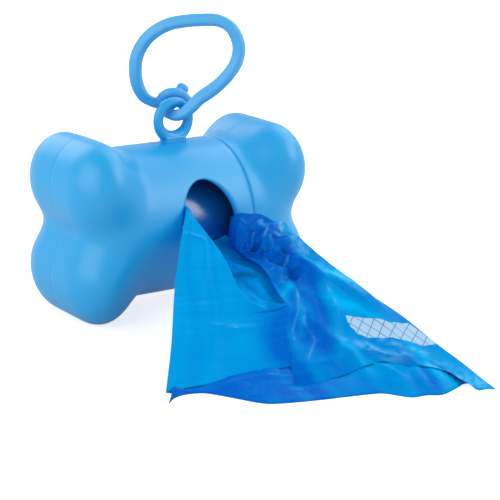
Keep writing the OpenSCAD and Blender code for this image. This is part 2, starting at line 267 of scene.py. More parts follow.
# %% [markdown]
# ## Half shells of the casing and the cap
#
# The bone is moulded as front and back halves, and the cap as another pair. Each half is one
# closed wall: an outer grid, an inner grid, and strips that close its edges. Real parts never meet
# in a perfect knife edge, so each edge drops by a few hundredths of a millimetre, which draws the
# fine parting line, and the seam at the cap gets a slightly larger one.

# %% A half shell
FAN_X, FAN_STEPS = 26.5, 34
SEAM_CHAMFER = 0.14
PARTING_CHAMFER = 0.022
PARTING_TURN = 0.16
PATCH_X, PATCH_ROWS = 14.0, 28
PATCH_TURN = 52.0
# Turns of the grid, in degrees: finer where the opening's patch is
TURNS = np.concatenate([
    [0, PARTING_TURN], np.linspace(4, 90 - PATCH_TURN, 12), np.linspace(40, 140, 51),
    np.linspace(90 + PATCH_TURN, 176, 12), [180 - PARTING_TURN, 180]])


def fan_stations(start, count):
    """Stations along the straight barrel from start, then round to the pole of the bone's end"""
    straight = [(x, 0) for x in np.linspace(start, FAN_X, count)]
    return straight + [(FAN_X, lean) for lean in np.linspace(0, 90, FAN_STEPS)[1:]]


def seam_stations(start):
    """Two stations at an edge of the seam, for its chamfer"""
    return [(start + SEAM_GAP / 2, 0), (start + SEAM_GAP / 2 + SEAM_CHAMFER, 0)]


def shell_parts(stations, face, end, bore_until):
    """Outer and inner grids of a half shell, with its edges chamfered and its foot flat"""
    shape = (len(stations), len(TURNS))
    outside = np.zeros(shape)
    outside[:, [0, -1]] = PARTING_CHAMFER
    outside[0, :] = SEAM_CHAMFER
    inside = np.full(shape, WALL)
    starts = np.array([end * s[0] for s in stations])
    bored = (starts * end < bore_until) & (np.array([s[1] for s in stations]) == 0)
    inside[bored, :] = BORE_WALL
    outer = skin_grid(stations, TURNS, face, end, outside)
    outer[..., 2] = np.maximum(outer[..., 2], -AXIS_Z)
    return outer, skin_grid(stations, TURNS, face, end, inside)


def shell_mesh(outer, inner, hole=None):
    """Points and faces of a closed half shell. hole is (rows, columns) of the grids left open"""
    rows, columns = outer.shape[:2]
    deep = rows * columns

    def kept(i, j):
        return not hole or not (hole[0][0] <= i < hole[0][1] and hole[1][0] <= j < hole[1][1])

    points = np.concatenate([outer.reshape(-1, 3), inner.reshape(-1, 3)])
    faces = grid_faces(rows, columns, keep=kept)
    faces += [face[::-1] for face in grid_faces(rows, columns, deep, keep=kept)]
    for j in (0, columns - 1):
        edge = [i * columns + j for i in range(rows)]
        faces += [(a, a + deep, b + deep, b) for a, b in zip(edge, edge[1:])]
    faces += [(j, j + 1, j + 1 + deep, j + deep) for j in range(columns - 1)]
    return points, faces


MERGE = 0.003
casing_stations = seam_stations(-SEAM_X)
casing_stations += [(x, 0) for x in np.linspace(-PATCH_X, PATCH_X, PATCH_ROWS + 1)]
casing_stations += fan_stations(PATCH_X, 16)[1:]
back_grids = shell_parts(casing_stations, 1, -1, PATCH_X + 0.1)
back_shell = make_piece("casing_back_shell", *shell_mesh(*back_grids), merge=MERGE)
print("back half of the casing:", triangles(back_shell), "triangles")

# %% [markdown]
# ## The dispensing opening
#
# The oval opening is where the eye goes, so its rim has to be clean: a Boolean cut through the
# dense grid would leave slivers that shade badly. Instead a square of the grid is left out, and
# rings of points lead from that square to the oval, round its soft outer edge, through the wall
# and out again on the inside. Every ring has the same number of points, so the rim stays a tidy
# band of quads.

# %% The front shell, with its oval opening
RIM_ROUND = 1.1
RIM_ROUND_INSIDE = 0.35


def on_barrel(x, z, radius):
    """A point on the front of a cylinder about the barrel's axis"""
    return np.stack([x, -np.sqrt(np.maximum(radius ** 2 - z ** 2, 0)), z], axis=-1)


def opening_rings(x, turn, inner_r):
    """Rings of points from a square on the outer skin, through the oval, to the square inside"""
    angle = np.arctan2(BARREL_R * np.cos(turn) / OPENING_HALF_H, x / OPENING_HALF_W)

    def oval(grow):
        return (OPENING_HALF_W + grow) * np.cos(angle), (OPENING_HALF_H + grow) * np.sin(angle)

    def spread(share, grow, radius):
        oval_x, oval_z = oval(grow)
        mixed = (1 - share) * np.arccos(oval_z / radius) + share * turn
        return np.stack([(1 - share) * oval_x + share * x,
                         -radius * np.sin(mixed), radius * np.cos(mixed)], axis=-1)

    steps = np.linspace(0, 1, 10) ** 1.4
    bend = np.radians(np.linspace(0, 90, 7))
    rings = [spread(share, RIM_ROUND, BARREL_R) for share in steps[::-1]]
    for a in bend[1:]:
        grow = RIM_ROUND * (1 - math.sin(a))
        rings.append(on_barrel(*oval(grow), BARREL_R - RIM_ROUND * (1 - math.cos(a))))
    for a in bend[:-1]:
        grow = RIM_ROUND_INSIDE * (1 - math.cos(a))
        rings.append(on_barrel(*oval(grow), inner_r + RIM_ROUND_INSIDE * (1 - math.sin(a))))
    return rings + [spread(share, RIM_ROUND_INSIDE, inner_r) for share in steps]


def front_shell():
    """The casing's front half: the half shell with the opening's rings set into its open square"""
    outer, inner = shell_parts(casing_stations, -1, -1, PATCH_X + 0.1)
    row = (2, 2 + PATCH_ROWS)
    column = (list(TURNS).index(90 - PATCH_TURN), list(TURNS).index(90 + PATCH_TURN))
    points, faces = shell_mesh(outer, inner, (row, column))
    square = [(i, column[0]) for i in range(row[0], row[1])] + [(row[1], j) for j in range(*column)]
    square += [(i, column[1]) for i in range(row[1], row[0], -1)]
    square += [(row[0], j) for j in range(column[1], column[0], -1)]
    x = np.array([outer[i, j, 0] for i, j in square])
    turn = np.radians([TURNS[j] for i, j in square])
    rings = opening_rings(x, turn, BARREL_R - BORE_WALL)
    rim_faces = grid_faces(len(rings), len(square), len(points), closed=True)
    return np.concatenate([points, *rings]), faces + rim_faces


front_shell_piece = make_piece("casing_front_shell", *front_shell(), merge=MERGE)
print("front half of the casing:", triangles(front_shell_piece), "triangles")

# %% The cap's two half shells
CAP_BORE_UNTIL = SEAM_X + 4.2
CAP_START = SEAM_X + 1.2
cap_stations = seam_stations(SEAM_X) + fan_stations(CAP_START, 12)
cap_shells = {}
for side, face in (("front", -1), ("back", 1)):
    shell = shell_mesh(*shell_parts(cap_stations, face, 1, CAP_BORE_UNTIL))
    cap_shells[side] = make_piece(f"cap_{side}_shell", *shell, merge=MERGE)
print("cap halves:", [triangles(shell) for shell in cap_shells.values()], "triangles")

# %% [markdown]
# ## The eyelet
#
# The eyelet is a round ring on a small square foot, moulded in one with softly filled corners. A
# torus and a prism that simply overlap would show a hard line between them, so the two are fused:
# their skin is rebuilt in fine voxels and relaxed a little, which leaves the small fillets of a
# real moulding.

# %% The eyelet, fused from a ring and a foot
RING_R, RING_WIRE_R = 5.45, 1.55
FOOT_HALF_W, FOOT_HALF_D, FOOT_TOP_HALF_W = 3.5, 2.1, 4.45
FOOT_BLOCK_Z, FOOT_NECK_Z, FOOT_TAB_Z = 24.6, 25.7, 21.1
RING_SIDES, WIRE_SIDES, HEAVIER_BELOW = 96, 28, 0.45


def torus_points(radius, wire, around, section, heavier_below=0.0):
    """Grid of a ring in the XZ plane about the origin, whose wire can be thicker at the bottom"""
    a = np.linspace(0, 2 * np.pi, around, endpoint=False)[:, None]
    b = np.linspace(0, 2 * np.pi, section, endpoint=False)[None, :]
    wire = wire + heavier_below * np.maximum(-np.sin(a), 0) ** 2
    reach = radius + wire * np.cos(b)
    return np.stack([reach * np.cos(a), wire * np.sin(b) + 0 * a, reach * np.sin(a)], axis=-1)


def torus_faces(around, section, start=0):
    """Quads of a ring closed both ways"""
    faces = []
    for i in range(around):
        for j in range(section):
            a, b = i * section, (i + 1) % around * section
            k = (j + 1) % section
            faces.append((start + a + j, start + b + j, start + b + k, start + a + k))
    return faces


def eyelet_mesh():
    """Ring and foot as two closed parts"""
    ring = torus_points(RING_R, RING_WIRE_R, RING_SIDES, WIRE_SIDES, HEAVIER_BELOW).reshape(-1, 3)
    ring = ring + [EYE_X, 0, EYE_Z]
    levels = [(FOOT_TAB_Z, FOOT_HALF_W, FOOT_HALF_D), (FOOT_BLOCK_Z, FOOT_HALF_W, FOOT_HALF_D),
              (FOOT_NECK_Z, FOOT_TOP_HALF_W, RING_WIRE_R)]
    foot = [(EYE_X + sx * w, sy * d, z) for z, w, d in levels
            for sx, sy in ((-1, -1), (1, -1), (1, 1), (-1, 1))]
    base = len(ring)
    faces = torus_faces(RING_SIDES, WIRE_SIDES)
    faces += grid_faces(len(levels), 4, base, closed=True)
    faces += [(base, base + 1, base + 2, base + 3), tuple(base + 8 + k for k in (3, 2, 1, 0))]
    return np.concatenate([ring, np.array(foot)]), faces


eyelet = fuse(make_piece("eyelet_ring", *eyelet_mesh()), voxel=0.16, relax=5)
print("eyelet:", triangles(eyelet), "triangles")

# %% [markdown]
# ## The strap clip
#
# The strap is one soft moulding: a rounded band that leaves a small eye, runs round in a large
# loop, narrows to a tail, and is threaded through the eyelet and back through its own eye. Its
# route is a list of given points, with the band's half width and half depth at each. A section
# carried along the route makes the band, leant a little so that its inner face shows, and the eye
# is fused to it.

# %% The strap and its eye
STRAP_TURN = math.radians(-36.3)
STRAP = [(-4.4, 6.4, 3.8, 1.5, 1.5), (-6.6, 5.2, 4.3, 1.6, 1.6), (-9.3, 3.8, 6.2, 1.7, 1.7),
         (-11.2, 2.4, 10, 1.75, 1.75), (-11.8, 1.4, 14.4, 1.8, 1.75),
         (-11.4, 0.8, 18.8, 1.8, 1.75), (-9.4, 0.4, 23.2, 1.8, 1.75), (-6.2, 0.2, 26.6, 1.8, 1.75),
         (-1.8, 0, 29.1, 1.8, 1.75), (3, 0, 30.2, 1.8, 1.75), (8, 0, 30.7, 1.8, 1.75),
         (12.8, 0, 30.7, 1.8, 1.75), (16.6, 0, 29, 1.8, 1.75), (18.8, 0, 25.8, 1.8, 1.75),
         (19.6, 0, 22.2, 1.8, 1.75), (18.9, 0, 18.3, 1.8, 1.75), (16.9, 0, 14.8, 1.8, 1.75),
         (13.9, 0, 11.4, 1.8, 1.75), (10.8, -0.6, 8.9, 1.9, 1.75), (7.9, -1.2, 6.9, 1.85, 1.7),
         (5.7, -1.6, 4.5, 1.75, 1.65), (3, -1.6, 2.2, 1.65, 1.6), (0.2, -0.2, 1.3, 1.6, 1.6),
         (-2, 1.8, 1.8, 1.5, 1.5), (-2.2, 4.4, 2.7, 1.5, 1.5), (-0.4, 6.6, 4, 1.5, 1.5),
         (1.2, 8.2, 6, 1.6, 1.6), (2.4, 8.9, 8.3, 1.75, 1.7)]
BAND_LEAN = (0.45, 1.0, -0.45)
EYE_CENTRE = np.array([-0.2, 6.5, 3.7])
EYE_TILT = math.radians(-65)
EYE_RING_R, EYE_WIRE_R = 4.2, 1.6
EYE_SIDES, EYE_WIRE_SIDES = 72, 24
SECTION_SIDES, SQUARISH = 28, 0.55
TAIL_ROUND = 1.4


def catmull(points, steps):
    """A smooth curve through every point, with the given steps between neighbours"""
    points = np.asarray(points, float)
    padded = np.concatenate([[2 * points[0] - points[1]], points, [2 * points[-1] - points[-2]]])
    t = np.linspace(0, 1, steps, endpoint=False)[:, None]
    out = []
    for a, b, c, d in zip(padded, padded[1:], padded[2:], padded[3:]):
        out.append(0.5 * (2 * b + (c - a) * t + (2 * a - 5 * b + 4 * c - d) * t ** 2
                          + (3 * b - 3 * c + d - a) * t ** 3))
    return np.concatenate(out + [points[-1:]])


def strap_rings():
    """Rings of the band's squarish section along the route, with its tail closed in a half round"""
    path = catmull(STRAP, 7)
    spots, wide, thick = path[:, :3], path[:, 3], path[:, 4]
    tangent = np.gradient(spots, axis=0)
    tangent /= np.linalg.norm(tangent, axis=1)[:, None]
    lean = np.array(BAND_LEAN) / np.linalg.norm(BAND_LEAN)
    angle = np.linspace(0, 2 * np.pi, SECTION_SIDES, endpoint=False)[:, None]
    flat_cos = np.sign(np.cos(angle)) * np.abs(np.cos(angle)) ** SQUARISH
    flat_sin = np.sign(np.sin(angle)) * np.abs(np.sin(angle)) ** SQUARISH
    rings = []
    for i, (spot, along) in enumerate(zip(spots, tangent)):
        depth = lean - along * lean.dot(along)
        depth /= np.linalg.norm(depth)
        across = np.cross(along, depth)
        rings.append(spot + across * wide[i] * flat_cos + depth * thick[i] * flat_sin)
    closing = []
    for a in np.radians([20, 40, 60, 78]):
        centre = spots[-1] + tangent[-1] * TAIL_ROUND * math.sin(a)
        closing.append(centre + (rings[-1] - spots[-1]) * math.cos(a))
    return rings + closing


def turned(points, angle, first, second):
    """Points turned by an angle in the plane of two axes"""
    out = points.copy()
    out[:, first] = points[:, first] * math.cos(angle) - points[:, second] * math.sin(angle)
    out[:, second] = points[:, first] * math.sin(angle) + points[:, second] * math.cos(angle)
    return out


def strap_mesh():
    """The band and the eye, turned to face the camera and moved to the eyelet"""
    rings = strap_rings()
    band = np.concatenate(rings)
    faces = grid_faces(len(rings), SECTION_SIDES, closed=True)
    faces += [tuple(range(SECTION_SIDES)), tuple(range(len(band) - SECTION_SIDES, len(band)))[::-1]]
    eye = torus_points(EYE_RING_R, EYE_WIRE_R, EYE_SIDES, EYE_WIRE_SIDES).reshape(-1, 3)
    faces += torus_faces(EYE_SIDES, EYE_WIRE_SIDES, len(band))
    upright = turned(eye, math.radians(90) + EYE_TILT, 1, 2)
    points = turned(np.concatenate([band, upright + EYE_CENTRE]), STRAP_TURN, 0, 1)
    return points + [EYE_X, 0, EYE_Z], faces


strap = fuse(make_piece("clip_strap", *strap_mesh()), voxel=0.2, relax=4)
print("strap:", triangles(strap), "triangles")

# %% [markdown]
# ## The wound roll
#
# The bags come as one long film wound on a cardboard core. At the roll's ends the turns show as a
# fine spiral. Geometry Nodes suit it, because the whole piece follows one rule: a flat spiral,
# swept with a long thin section. The inputs are real sizes, so the same tree winds a fresh roll or
# a nearly used one.

# %% Node helpers


def plug(tree, socket, value):
    """Set a socket to a number, a colour or another node's output"""
    if isinstance(value, bpy.types.NodeSocket):
        tree.links.new(value, socket)
    else:
        socket.default_value = value


def add_node(tree, kind, settings=None, **sockets):
    """A node with its settings, and its sockets set by name"""
    node = tree.nodes.new(kind)
    for label, value in (settings or {}).items():
        setattr(node, label, value)
    for label, value in sockets.items():
        plug(tree, node.inputs[label.replace("_", " ")], value)
    return node


# %% The film wound by Geometry Nodes
TURNS_SHOWN = 26
SPIRAL_STEPS = 56
FILM_SHARE = 0.97


def winding_tree():
    """A tree that sweeps a thin section along a flat spiral, set along the X axis"""
    tree = bpy.data.node_groups.new("wound_film", "GeometryNodeTree")
    tree.interface.new_socket("Geometry", in_out="OUTPUT", socket_type="NodeSocketGeometry")
    kinds = dict.fromkeys(("Turns", "Inner radius", "Outer radius", "Length", "Film", "Height"),
                          "NodeSocketFloat")
    kinds["Finish"] = "NodeSocketMaterial"
    sizes = {label: tree.interface.new_socket(label, in_out="INPUT", socket_type=kind).identifier
             for label, kind in kinds.items()}
    given = tree.nodes.new("NodeGroupInput").outputs
    result = tree.nodes.new("NodeGroupOutput").inputs
    spiral = add_node(tree, "GeometryNodeCurveSpiral", Resolution=SPIRAL_STEPS, Height=0.0,
                      Rotations=given["Turns"], Start_Radius=given["Inner radius"],
                      End_Radius=given["Outer radius"])
    section = add_node(tree, "GeometryNodeCurvePrimitiveQuadrilateral", Width=given["Film"],
                       Height=given["Length"])
    sweep = add_node(tree, "GeometryNodeCurveToMesh", Curve=spiral.outputs["Curve"],
                     Profile_Curve=section.outputs["Curve"], Fill_Caps=True)
    lift = add_node(tree, "ShaderNodeCombineXYZ", Z=given["Height"])
    lay = add_node(tree, "GeometryNodeTransform", Geometry=sweep.outputs["Mesh"],
                   Translation=lift.outputs["Vector"], Rotation=(0, math.radians(90), 0))
    smooth = add_node(tree, "GeometryNodeSetShadeSmooth", Geometry=lay.outputs["Geometry"])
    real = add_node(tree, "GeometryNodeRealizeInstances", Geometry=smooth.outputs["Geometry"])
    finish = add_node(tree, "GeometryNodeSetMaterial", Geometry=real.outputs["Geometry"],
                      Material=given["Finish"])
    plug(tree, result["Geometry"], finish.outputs["Geometry"])
    return tree, sizes


def wind_roll():
    """The wound film as a plain mesh, round its core"""
    core_low, core_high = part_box("roll_core")
    core_r = (core_high.y - core_low.y) / 2 / MM
    pitch = (ROLL_R - core_r) / TURNS_SHOWN
    tree, sizes = winding_tree()
    roll = bpy.data.objects.new("wound_bags", bpy.data.meshes.new("wound_bags"))
    bpy.context.scene.collection.objects.link(roll)
    wind = roll.modifiers.new("winding", "NODES")
    wind.node_group = tree
    values = {"Turns": TURNS_SHOWN - 1, "Inner radius": (core_r + pitch / 2) * MM,
              "Outer radius": (ROLL_R - pitch / 2) * MM, "Length": ROLL_LONG * MM,
              "Film": pitch * FILM_SHARE * MM, "Height": (AXIS_Z + ROLL_Z) * MM}
    for label, value in values.items():
        wind[sizes[label]] = value
    wind[sizes["Finish"]] = bpy.data.materials.new("roll_film")
    return bake_modifiers(roll)


roll = wind_roll()
print("wound roll:", triangles(roll), "triangles, box", [round(v, 4) for v in roll.dimensions])

# %% [markdown]
# ## The drawn bag
#
# The bag is a flattened tube of thin film: an upper and a lower layer joined along both side edges
# and open at the far hem. It's gathered in the opening and fans out to the table. Its upper layer
# splits near the opening into a flat flap on the left, folded along its slanting edge, and a
# crumpled swell on the right, and between them one looks into the pocket onto the lower layer.
# Each panel is a patch stretched between four edges, and the edges are lists of a few given
# points. Neighbouring panels share the points of their common edge, so the film stays whole.

# %% Edges of the bag, in millimetres about the barrel's axis
TABLE = -AXIS_Z + 0.08
LEFT_EDGE = [(-9.5, -14.3, 6.5), (-8.4, -18, 8.1), (-8.2, -21, 8.5), (-9.2, -23.1, 8),
             (-16.4, -31.2, 1.4), (-26.8, -44, -7.8), (-38, -59.5, -18.4), (-48, -72.3, -26.3)]
FLAP_FOLD = [(-7.6, -15, 5.2), (-7, -18, 6.9), (-6.8, -21, 7.4), (-7.8, -23.5, 7),
             (-8.4, -29, 4.6), (-8.3, -36, 1), (-9, -44, -3.2), (-11.2, -55, -9.3),
             (-7.7, -63.2, -12.4), (-2.2, -64.7, -11.5)]
POCKET_EDGE = [(10.4, -16.3, -6.2), (8.8, -19.5, -5.6), (7.3, -22.5, -5.5), (3.8, -35.5, -5.5),
               (2, -47, -6), (-1, -57.7, -9.6), (-2.2, -64.7, -11.5)]
CREASE = [(-2.2, -64.7, -11.5), (-5.3, -68.5, -14.3), (-9.5, -75.3, -18.9), (-12.9, -81, -22.9)]
CREASE_END = [(-12.9, -81, -22.9), (-17.6, -87.3, TABLE)]
RIDGE = [(11.4, -16.8, -1), (9, -20, 2), (7.6, -24, 3.8), (7.4, -28, 5.2), (8.6, -31, 5.6),
         (10.7, -35, 4.6), (11.6, -40.5, 2.6), (11.9, -48, -0.8), (12, -58, -4), (9.8, -70, -8.8),
         (6, -80, -14.6), (0, -88.5, -20.2), (-3, -91.3, -23)]
RIGHT_EDGE = [(12.6, -16.8, -3.4), (9.2, -21.5, -3.4), (11.6, -26, -2.4), (13.4, -32, -0.8),
              (13.6, -38.5, 0.4), (13.2, -45, 0.4), (13.3, -53, -1.7), (18.3, -69.4, -7.7),
              (23.2, -83.5, -13.3), (25.9, -96, -18.7), (28, -104.3, -22.1), (29.5, -110.5, -24.9),
              (30.6, -115.9, TABLE)]
FLAP_HEM = [(-48, -72.3, -26.3), (-45.4, -72.2, -26.2), (-38, -73.7, -25.8), (-28.6, -75.2, -25.2),
            (-21.1, -77, -24.2), (-12.9, -81, -22.9)]
SWELL_HEM = [(-17.6, -87.3, TABLE), (-11.2, -89.4, -26.2), (-4.8, -91.1, -24.6),
             (2.9, -92.3, -22.8), (9, -93.4, -22), (14.1, -98, -22.8), (18, -101.5, -23.2),
             (22.4, -104.6, -23.9), (24.8, -109.5, -25.8), (26.8, -112.8, -26.8),
             (30.6, -115.9, TABLE)]
LOWER_MIDDLE = [(0, -16, -7.4), (-0.4, -19, -7.6), (-0.8, -23, -8.4), (-1.2, -33, -10.2),
                (-2, -46, -12.6), (-3.6, -60, -16), (-5.5, -76, -22), (-9.5, -96.6, TABLE)]
LOWER_HEM = [(-48, -72.3, -26.3), (-46, -72.5, -26.8), (-48, -75, TABLE), (-51, -78.2, TABLE),
             (-48.2, -75.9, TABLE), (-46, -74.9, TABLE), (-43.6, -74.6, TABLE),
             (-40.7, -75.2, TABLE), (-37.9, -76.9, TABLE), (-34.7, -82, TABLE),
             (-30.3, -89.8, TABLE), (-26.9, -92.8, TABLE), (-18, -96, TABLE), (-7.5, -98.8, TABLE),
             (-1, -100.6, TABLE), (2.5, -102.2, TABLE), (6.7, -108.2, TABLE),
             (11.4, -109.2, TABLE), (15.2, -111.2, TABLE), (21.6, -109.6, TABLE),
             (26, -108, TABLE), (27.7, -109.4, TABLE), (25.6, -113.7, TABLE),
             (28.7, -114.3, TABLE), (30.6, -115.9, TABLE)]
PULL_FROM = np.array([0.0, -14.0])
FILM_UP = np.array([-0.27, -0.42, 0.87])
print(f"the table lies {-TABLE:.2f} mm below the axis, the bag reaches {-RIGHT_EDGE[-1][1]} mm out")

# %% Panels stretched between four edges


def spaced(points, count):
    """count points at even steps along an edge"""
    fine = catmull(points, 24) if len(points) > 2 else np.asarray(points, float)
    run = np.concatenate([[0], np.cumsum(np.linalg.norm(np.diff(fine, axis=0), axis=1))])
    want = np.linspace(0, run[-1], count)
    return np.stack([np.interp(want, run, fine[:, k]) for k in range(3)], axis=-1)


def stretched(left, right, top, bottom):
    """A patch between four edges: left and right run down, top and bottom run across"""
    v, u = np.linspace(0, 1, len(left))[:, None, None], np.linspace(0, 1, len(top))[None, :, None]
    sides = (1 - u) * left[:, None] + u * right[:, None]
    ends = (1 - v) * top[None] + v * bottom[None]
    corners = ((1 - u) * (1 - v) * left[0] + u * (1 - v) * right[0]
               + (1 - u) * v * left[-1] + u * v * right[-1])
    return sides + ends - corners


def pulled(patch, guide, share, fullness=1.0):
    """Pull a patch onto a guide line, less over its last rows, so that its hem stays. share is
    where the line runs across it, at the top and at the bottom. fullness below 1 is fuller"""
    rows, columns = patch.shape[:2]
    u = np.linspace(0, 1, columns)
    out = patch.copy()
    for i, spot in enumerate(spaced(guide, rows)):
        at = share[0] + (share[1] - share[0]) * i / (rows - 1)
        here = np.array([np.interp(at, u, patch[i, :, k]) for k in range(3)])
        weight = np.sin(np.pi * u ** (math.log(0.5) / math.log(at))) ** fullness
        out[i] += weight[:, None] * (spot - here) * min(1, (rows - 1 - i) / HEM_CALM_ROWS)
    return out


# %% The flap, the swell and the lower layer
HEM_CALM_ROWS, TAIL_ROWS = 14, 12
FOLD_ROWS, CREASE_ROWS, END_ROWS = 150, 44, 14
FLAP_COLUMNS, SWELL_COLUMNS, LOWER_ROWS, LOWER_COLUMNS = 56, 112, 100, 92
fold = spaced(FLAP_FOLD, FOLD_ROWS)
pocket = spaced(POCKET_EDGE, FOLD_ROWS)
crease = spaced(CREASE, CREASE_ROWS)
crease_end = spaced(CREASE_END, END_ROWS)
flap_right = np.concatenate([fold, crease[1:]])
swell_left = np.concatenate([pocket, crease[1:], crease_end[1:]])
flap = stretched(spaced(LEFT_EDGE, len(flap_right)), flap_right,
                 spaced([LEFT_EDGE[0], FLAP_FOLD[0]], FLAP_COLUMNS), spaced(FLAP_HEM, FLAP_COLUMNS))
swell = stretched(swell_left, spaced(RIGHT_EDGE, len(swell_left)),
                  spaced([POCKET_EDGE[0], RIDGE[0], RIGHT_EDGE[0]], SWELL_COLUMNS),
                  spaced(SWELL_HEM, SWELL_COLUMNS))
swell = pulled(swell, RIDGE, (0.5, 0.36), 0.8)
lower_hem = spaced(LOWER_HEM, LOWER_COLUMNS)
tail_tip, tail_end = LOWER_HEM[3], LOWER_HEM[5]
lower_hem[np.argmin(np.linalg.norm(lower_hem - tail_tip, axis=1))] = tail_tip
past_tail = np.argmin(np.linalg.norm(lower_hem - tail_end, axis=1))
plain_hem = lower_hem.copy()
plain_hem[:past_tail] = np.linspace(lower_hem[0], lower_hem[past_tail], past_tail, endpoint=False)
lower_top = [LEFT_EDGE[0], (-5, -16.9, 0), LOWER_MIDDLE[0], (6, -16.6, -5.6), RIGHT_EDGE[0]]
lower = stretched(spaced(LEFT_EDGE, LOWER_ROWS), spaced(RIGHT_EDGE, LOWER_ROWS),
                  spaced(lower_top, LOWER_COLUMNS), plain_hem)
lower = pulled(lower, LOWER_MIDDLE, (0.6, 0.48), 0.9)
tail_share = np.clip((np.arange(LOWER_ROWS) - LOWER_ROWS + 1) / TAIL_ROWS + 1, 0, 1) ** 2
lower += tail_share[:, None, None] * (lower_hem - plain_hem)
print("panels of film:", flap.shape[:2], swell.shape[:2], lower.shape[:2])

# %% [markdown]
# ## Crumples
#
# Thin film can't stretch, so where it's gathered it breaks into long folds that run away from the
# opening, crossed by small sharp creases. Nearly all are heights added along one direction for all
# panels, so that shared edges still meet; only the folds of the mound beside the opening stand
# straight out of the film, because its side is too steep for that direction. Soft folds are ridges
# in the angle round the opening, small creases come from cell noise, whose cell walls are sharp
# like those of crushed foil, and the few folds that give this bag its look are listed lines, each
# with a height (crest or valley) and a half width.

# %% Folds and creases
BEND_TURN, BEND_RUN, BEND_AMOUNT = 2.1, 0.025, 1.5
SWING_TURN, SWING_RUN, SWING_HEIGHT = 5.5, 0.022, 2.6
CREASE_RUN, CREASE_TURN, CELL_RUN, CELL_SHARE = 0.045, 4.5, 0.14, 0.45
PATTERN_MEAN = 0.35
LINE_SHARPNESS = 1.3
TINY = 1e-9


def ridged(angle, reach, seed):
    """Long folds: a soft saw-tooth of the angle, bent by slow noise, up to 1 on the crests"""
    out = np.empty(len(angle))
    for i, (a, r) in enumerate(zip(angle, reach)):
        bend = noise.noise(Vector((a * BEND_TURN, r * BEND_RUN, seed)))
        bent = a * SWING_TURN + bend * BEND_AMOUNT
        swing = noise.noise(Vector((bent, r * SWING_RUN, seed + 7.3)))
        out[i] = 1 - abs(swing) * SWING_HEIGHT
    return out


def cells(spots, stretch, seed):
    """Sharp creases: distance between the two nearest cells, 0 on the walls"""
    out = np.empty(len(spots))
    for i, spot in enumerate(spots * stretch):
        near = noise.voronoi(Vector((spot[0], spot[1], seed)))[0]
        out[i] = near[1] - near[0]
    return out


def near_line(spots, route, width):
    """How near points lie to a line, seen from above: 1 on it, 0 at width, fading to its ends"""
    route = np.asarray(route, float)
    lengths = np.linalg.norm(np.diff(route, axis=0), axis=1)
    run = np.concatenate([[0], np.cumsum(lengths)])
    nearest, along = np.full(len(spots), np.inf), np.zeros(len(spots))
    for a, b, start, length in zip(route, route[1:], run, lengths):
        t = np.clip((spots - a) @ (b - a) / length ** 2, 0, 1)
        distance = np.linalg.norm(spots - a - t[:, None] * (b - a), axis=1)
        along = np.where(distance < nearest, start + t * length, along)
        nearest = np.minimum(nearest, distance)
    fading = np.sqrt(np.sin(np.pi * along / run[-1]) + TINY)
    return np.clip(1 - nearest / width, 0, 1) ** LINE_SHARPNESS * fading


def crumple(grid, folds, creases, edge_calm, lines=()):
    """Add folds and creases to a panel, whose heights are arrays of the grid's shape"""
    rows, columns = grid.shape[:2]
    spots = grid.reshape(-1, 3)
    away = spots[:, :2] - PULL_FROM
    angle, reach = np.arctan2(away[:, 0], -away[:, 1]), np.hypot(away[:, 0], away[:, 1])
    along = np.stack([reach * CREASE_RUN, angle * CREASE_TURN], axis=-1)
    height = folds.ravel() * (ridged(angle, reach, 1.7) - PATTERN_MEAN)
    height -= creases.ravel() * (cells(along, 1.0, 4.2) - PATTERN_MEAN)
    small = cells(spots[:, :2], CELL_RUN, 9.1) - PATTERN_MEAN
    height += CELL_SHARE * creases.ravel() * small
    for high, width, route in lines:
        height += high * near_line(spots[:, :2], route, width)
    height *= edge_calm.ravel()
    moved = spots + height[:, None] * FILM_UP
    moved[:, 2] = np.maximum(moved[:, 2], TABLE)
    return moved.reshape(rows, columns, 3)


def bump(t, centre, width):
    """A smooth hump of height 1"""
    return np.exp(-((t - centre) / width) ** 2)


def calm(t, start, end):
    """0 at both sides of a panel, rising to 1 over the given shares of its width"""
    return np.clip(t / start, 0, 1) * np.clip((1 - t) / end, 0, 1)


def shares(grid):
    """Share down and share across of each point of a panel"""
    rows, columns = grid.shape[:2]
    return np.meshgrid(np.linspace(0, 1, rows), np.linspace(0, 1, columns), indexing="ij")


def fold_mound(grid, folds):
    """Add the folds that run down the mound's steep side, straight out of the film. They are drawn
    on the flat film, as shares of its length and width, and MOUND_SIZE makes these millimetres"""
    spots = np.stack(shares(grid), axis=-1).reshape(-1, 2) * MOUND_SIZE
    out_of_film = np.cross(np.gradient(grid, axis=1), np.gradient(grid, axis=0))
    out_of_film /= np.linalg.norm(out_of_film, axis=-1)[..., None] + TINY
    height = sum(high * near_line(spots, np.array(route) * MOUND_SIZE, width)
                 for high, width, route in folds)
    moved = grid + height.reshape(grid.shape[:2])[..., None] * out_of_film
    moved[..., 2] = np.maximum(moved[..., 2], TABLE)
    return moved
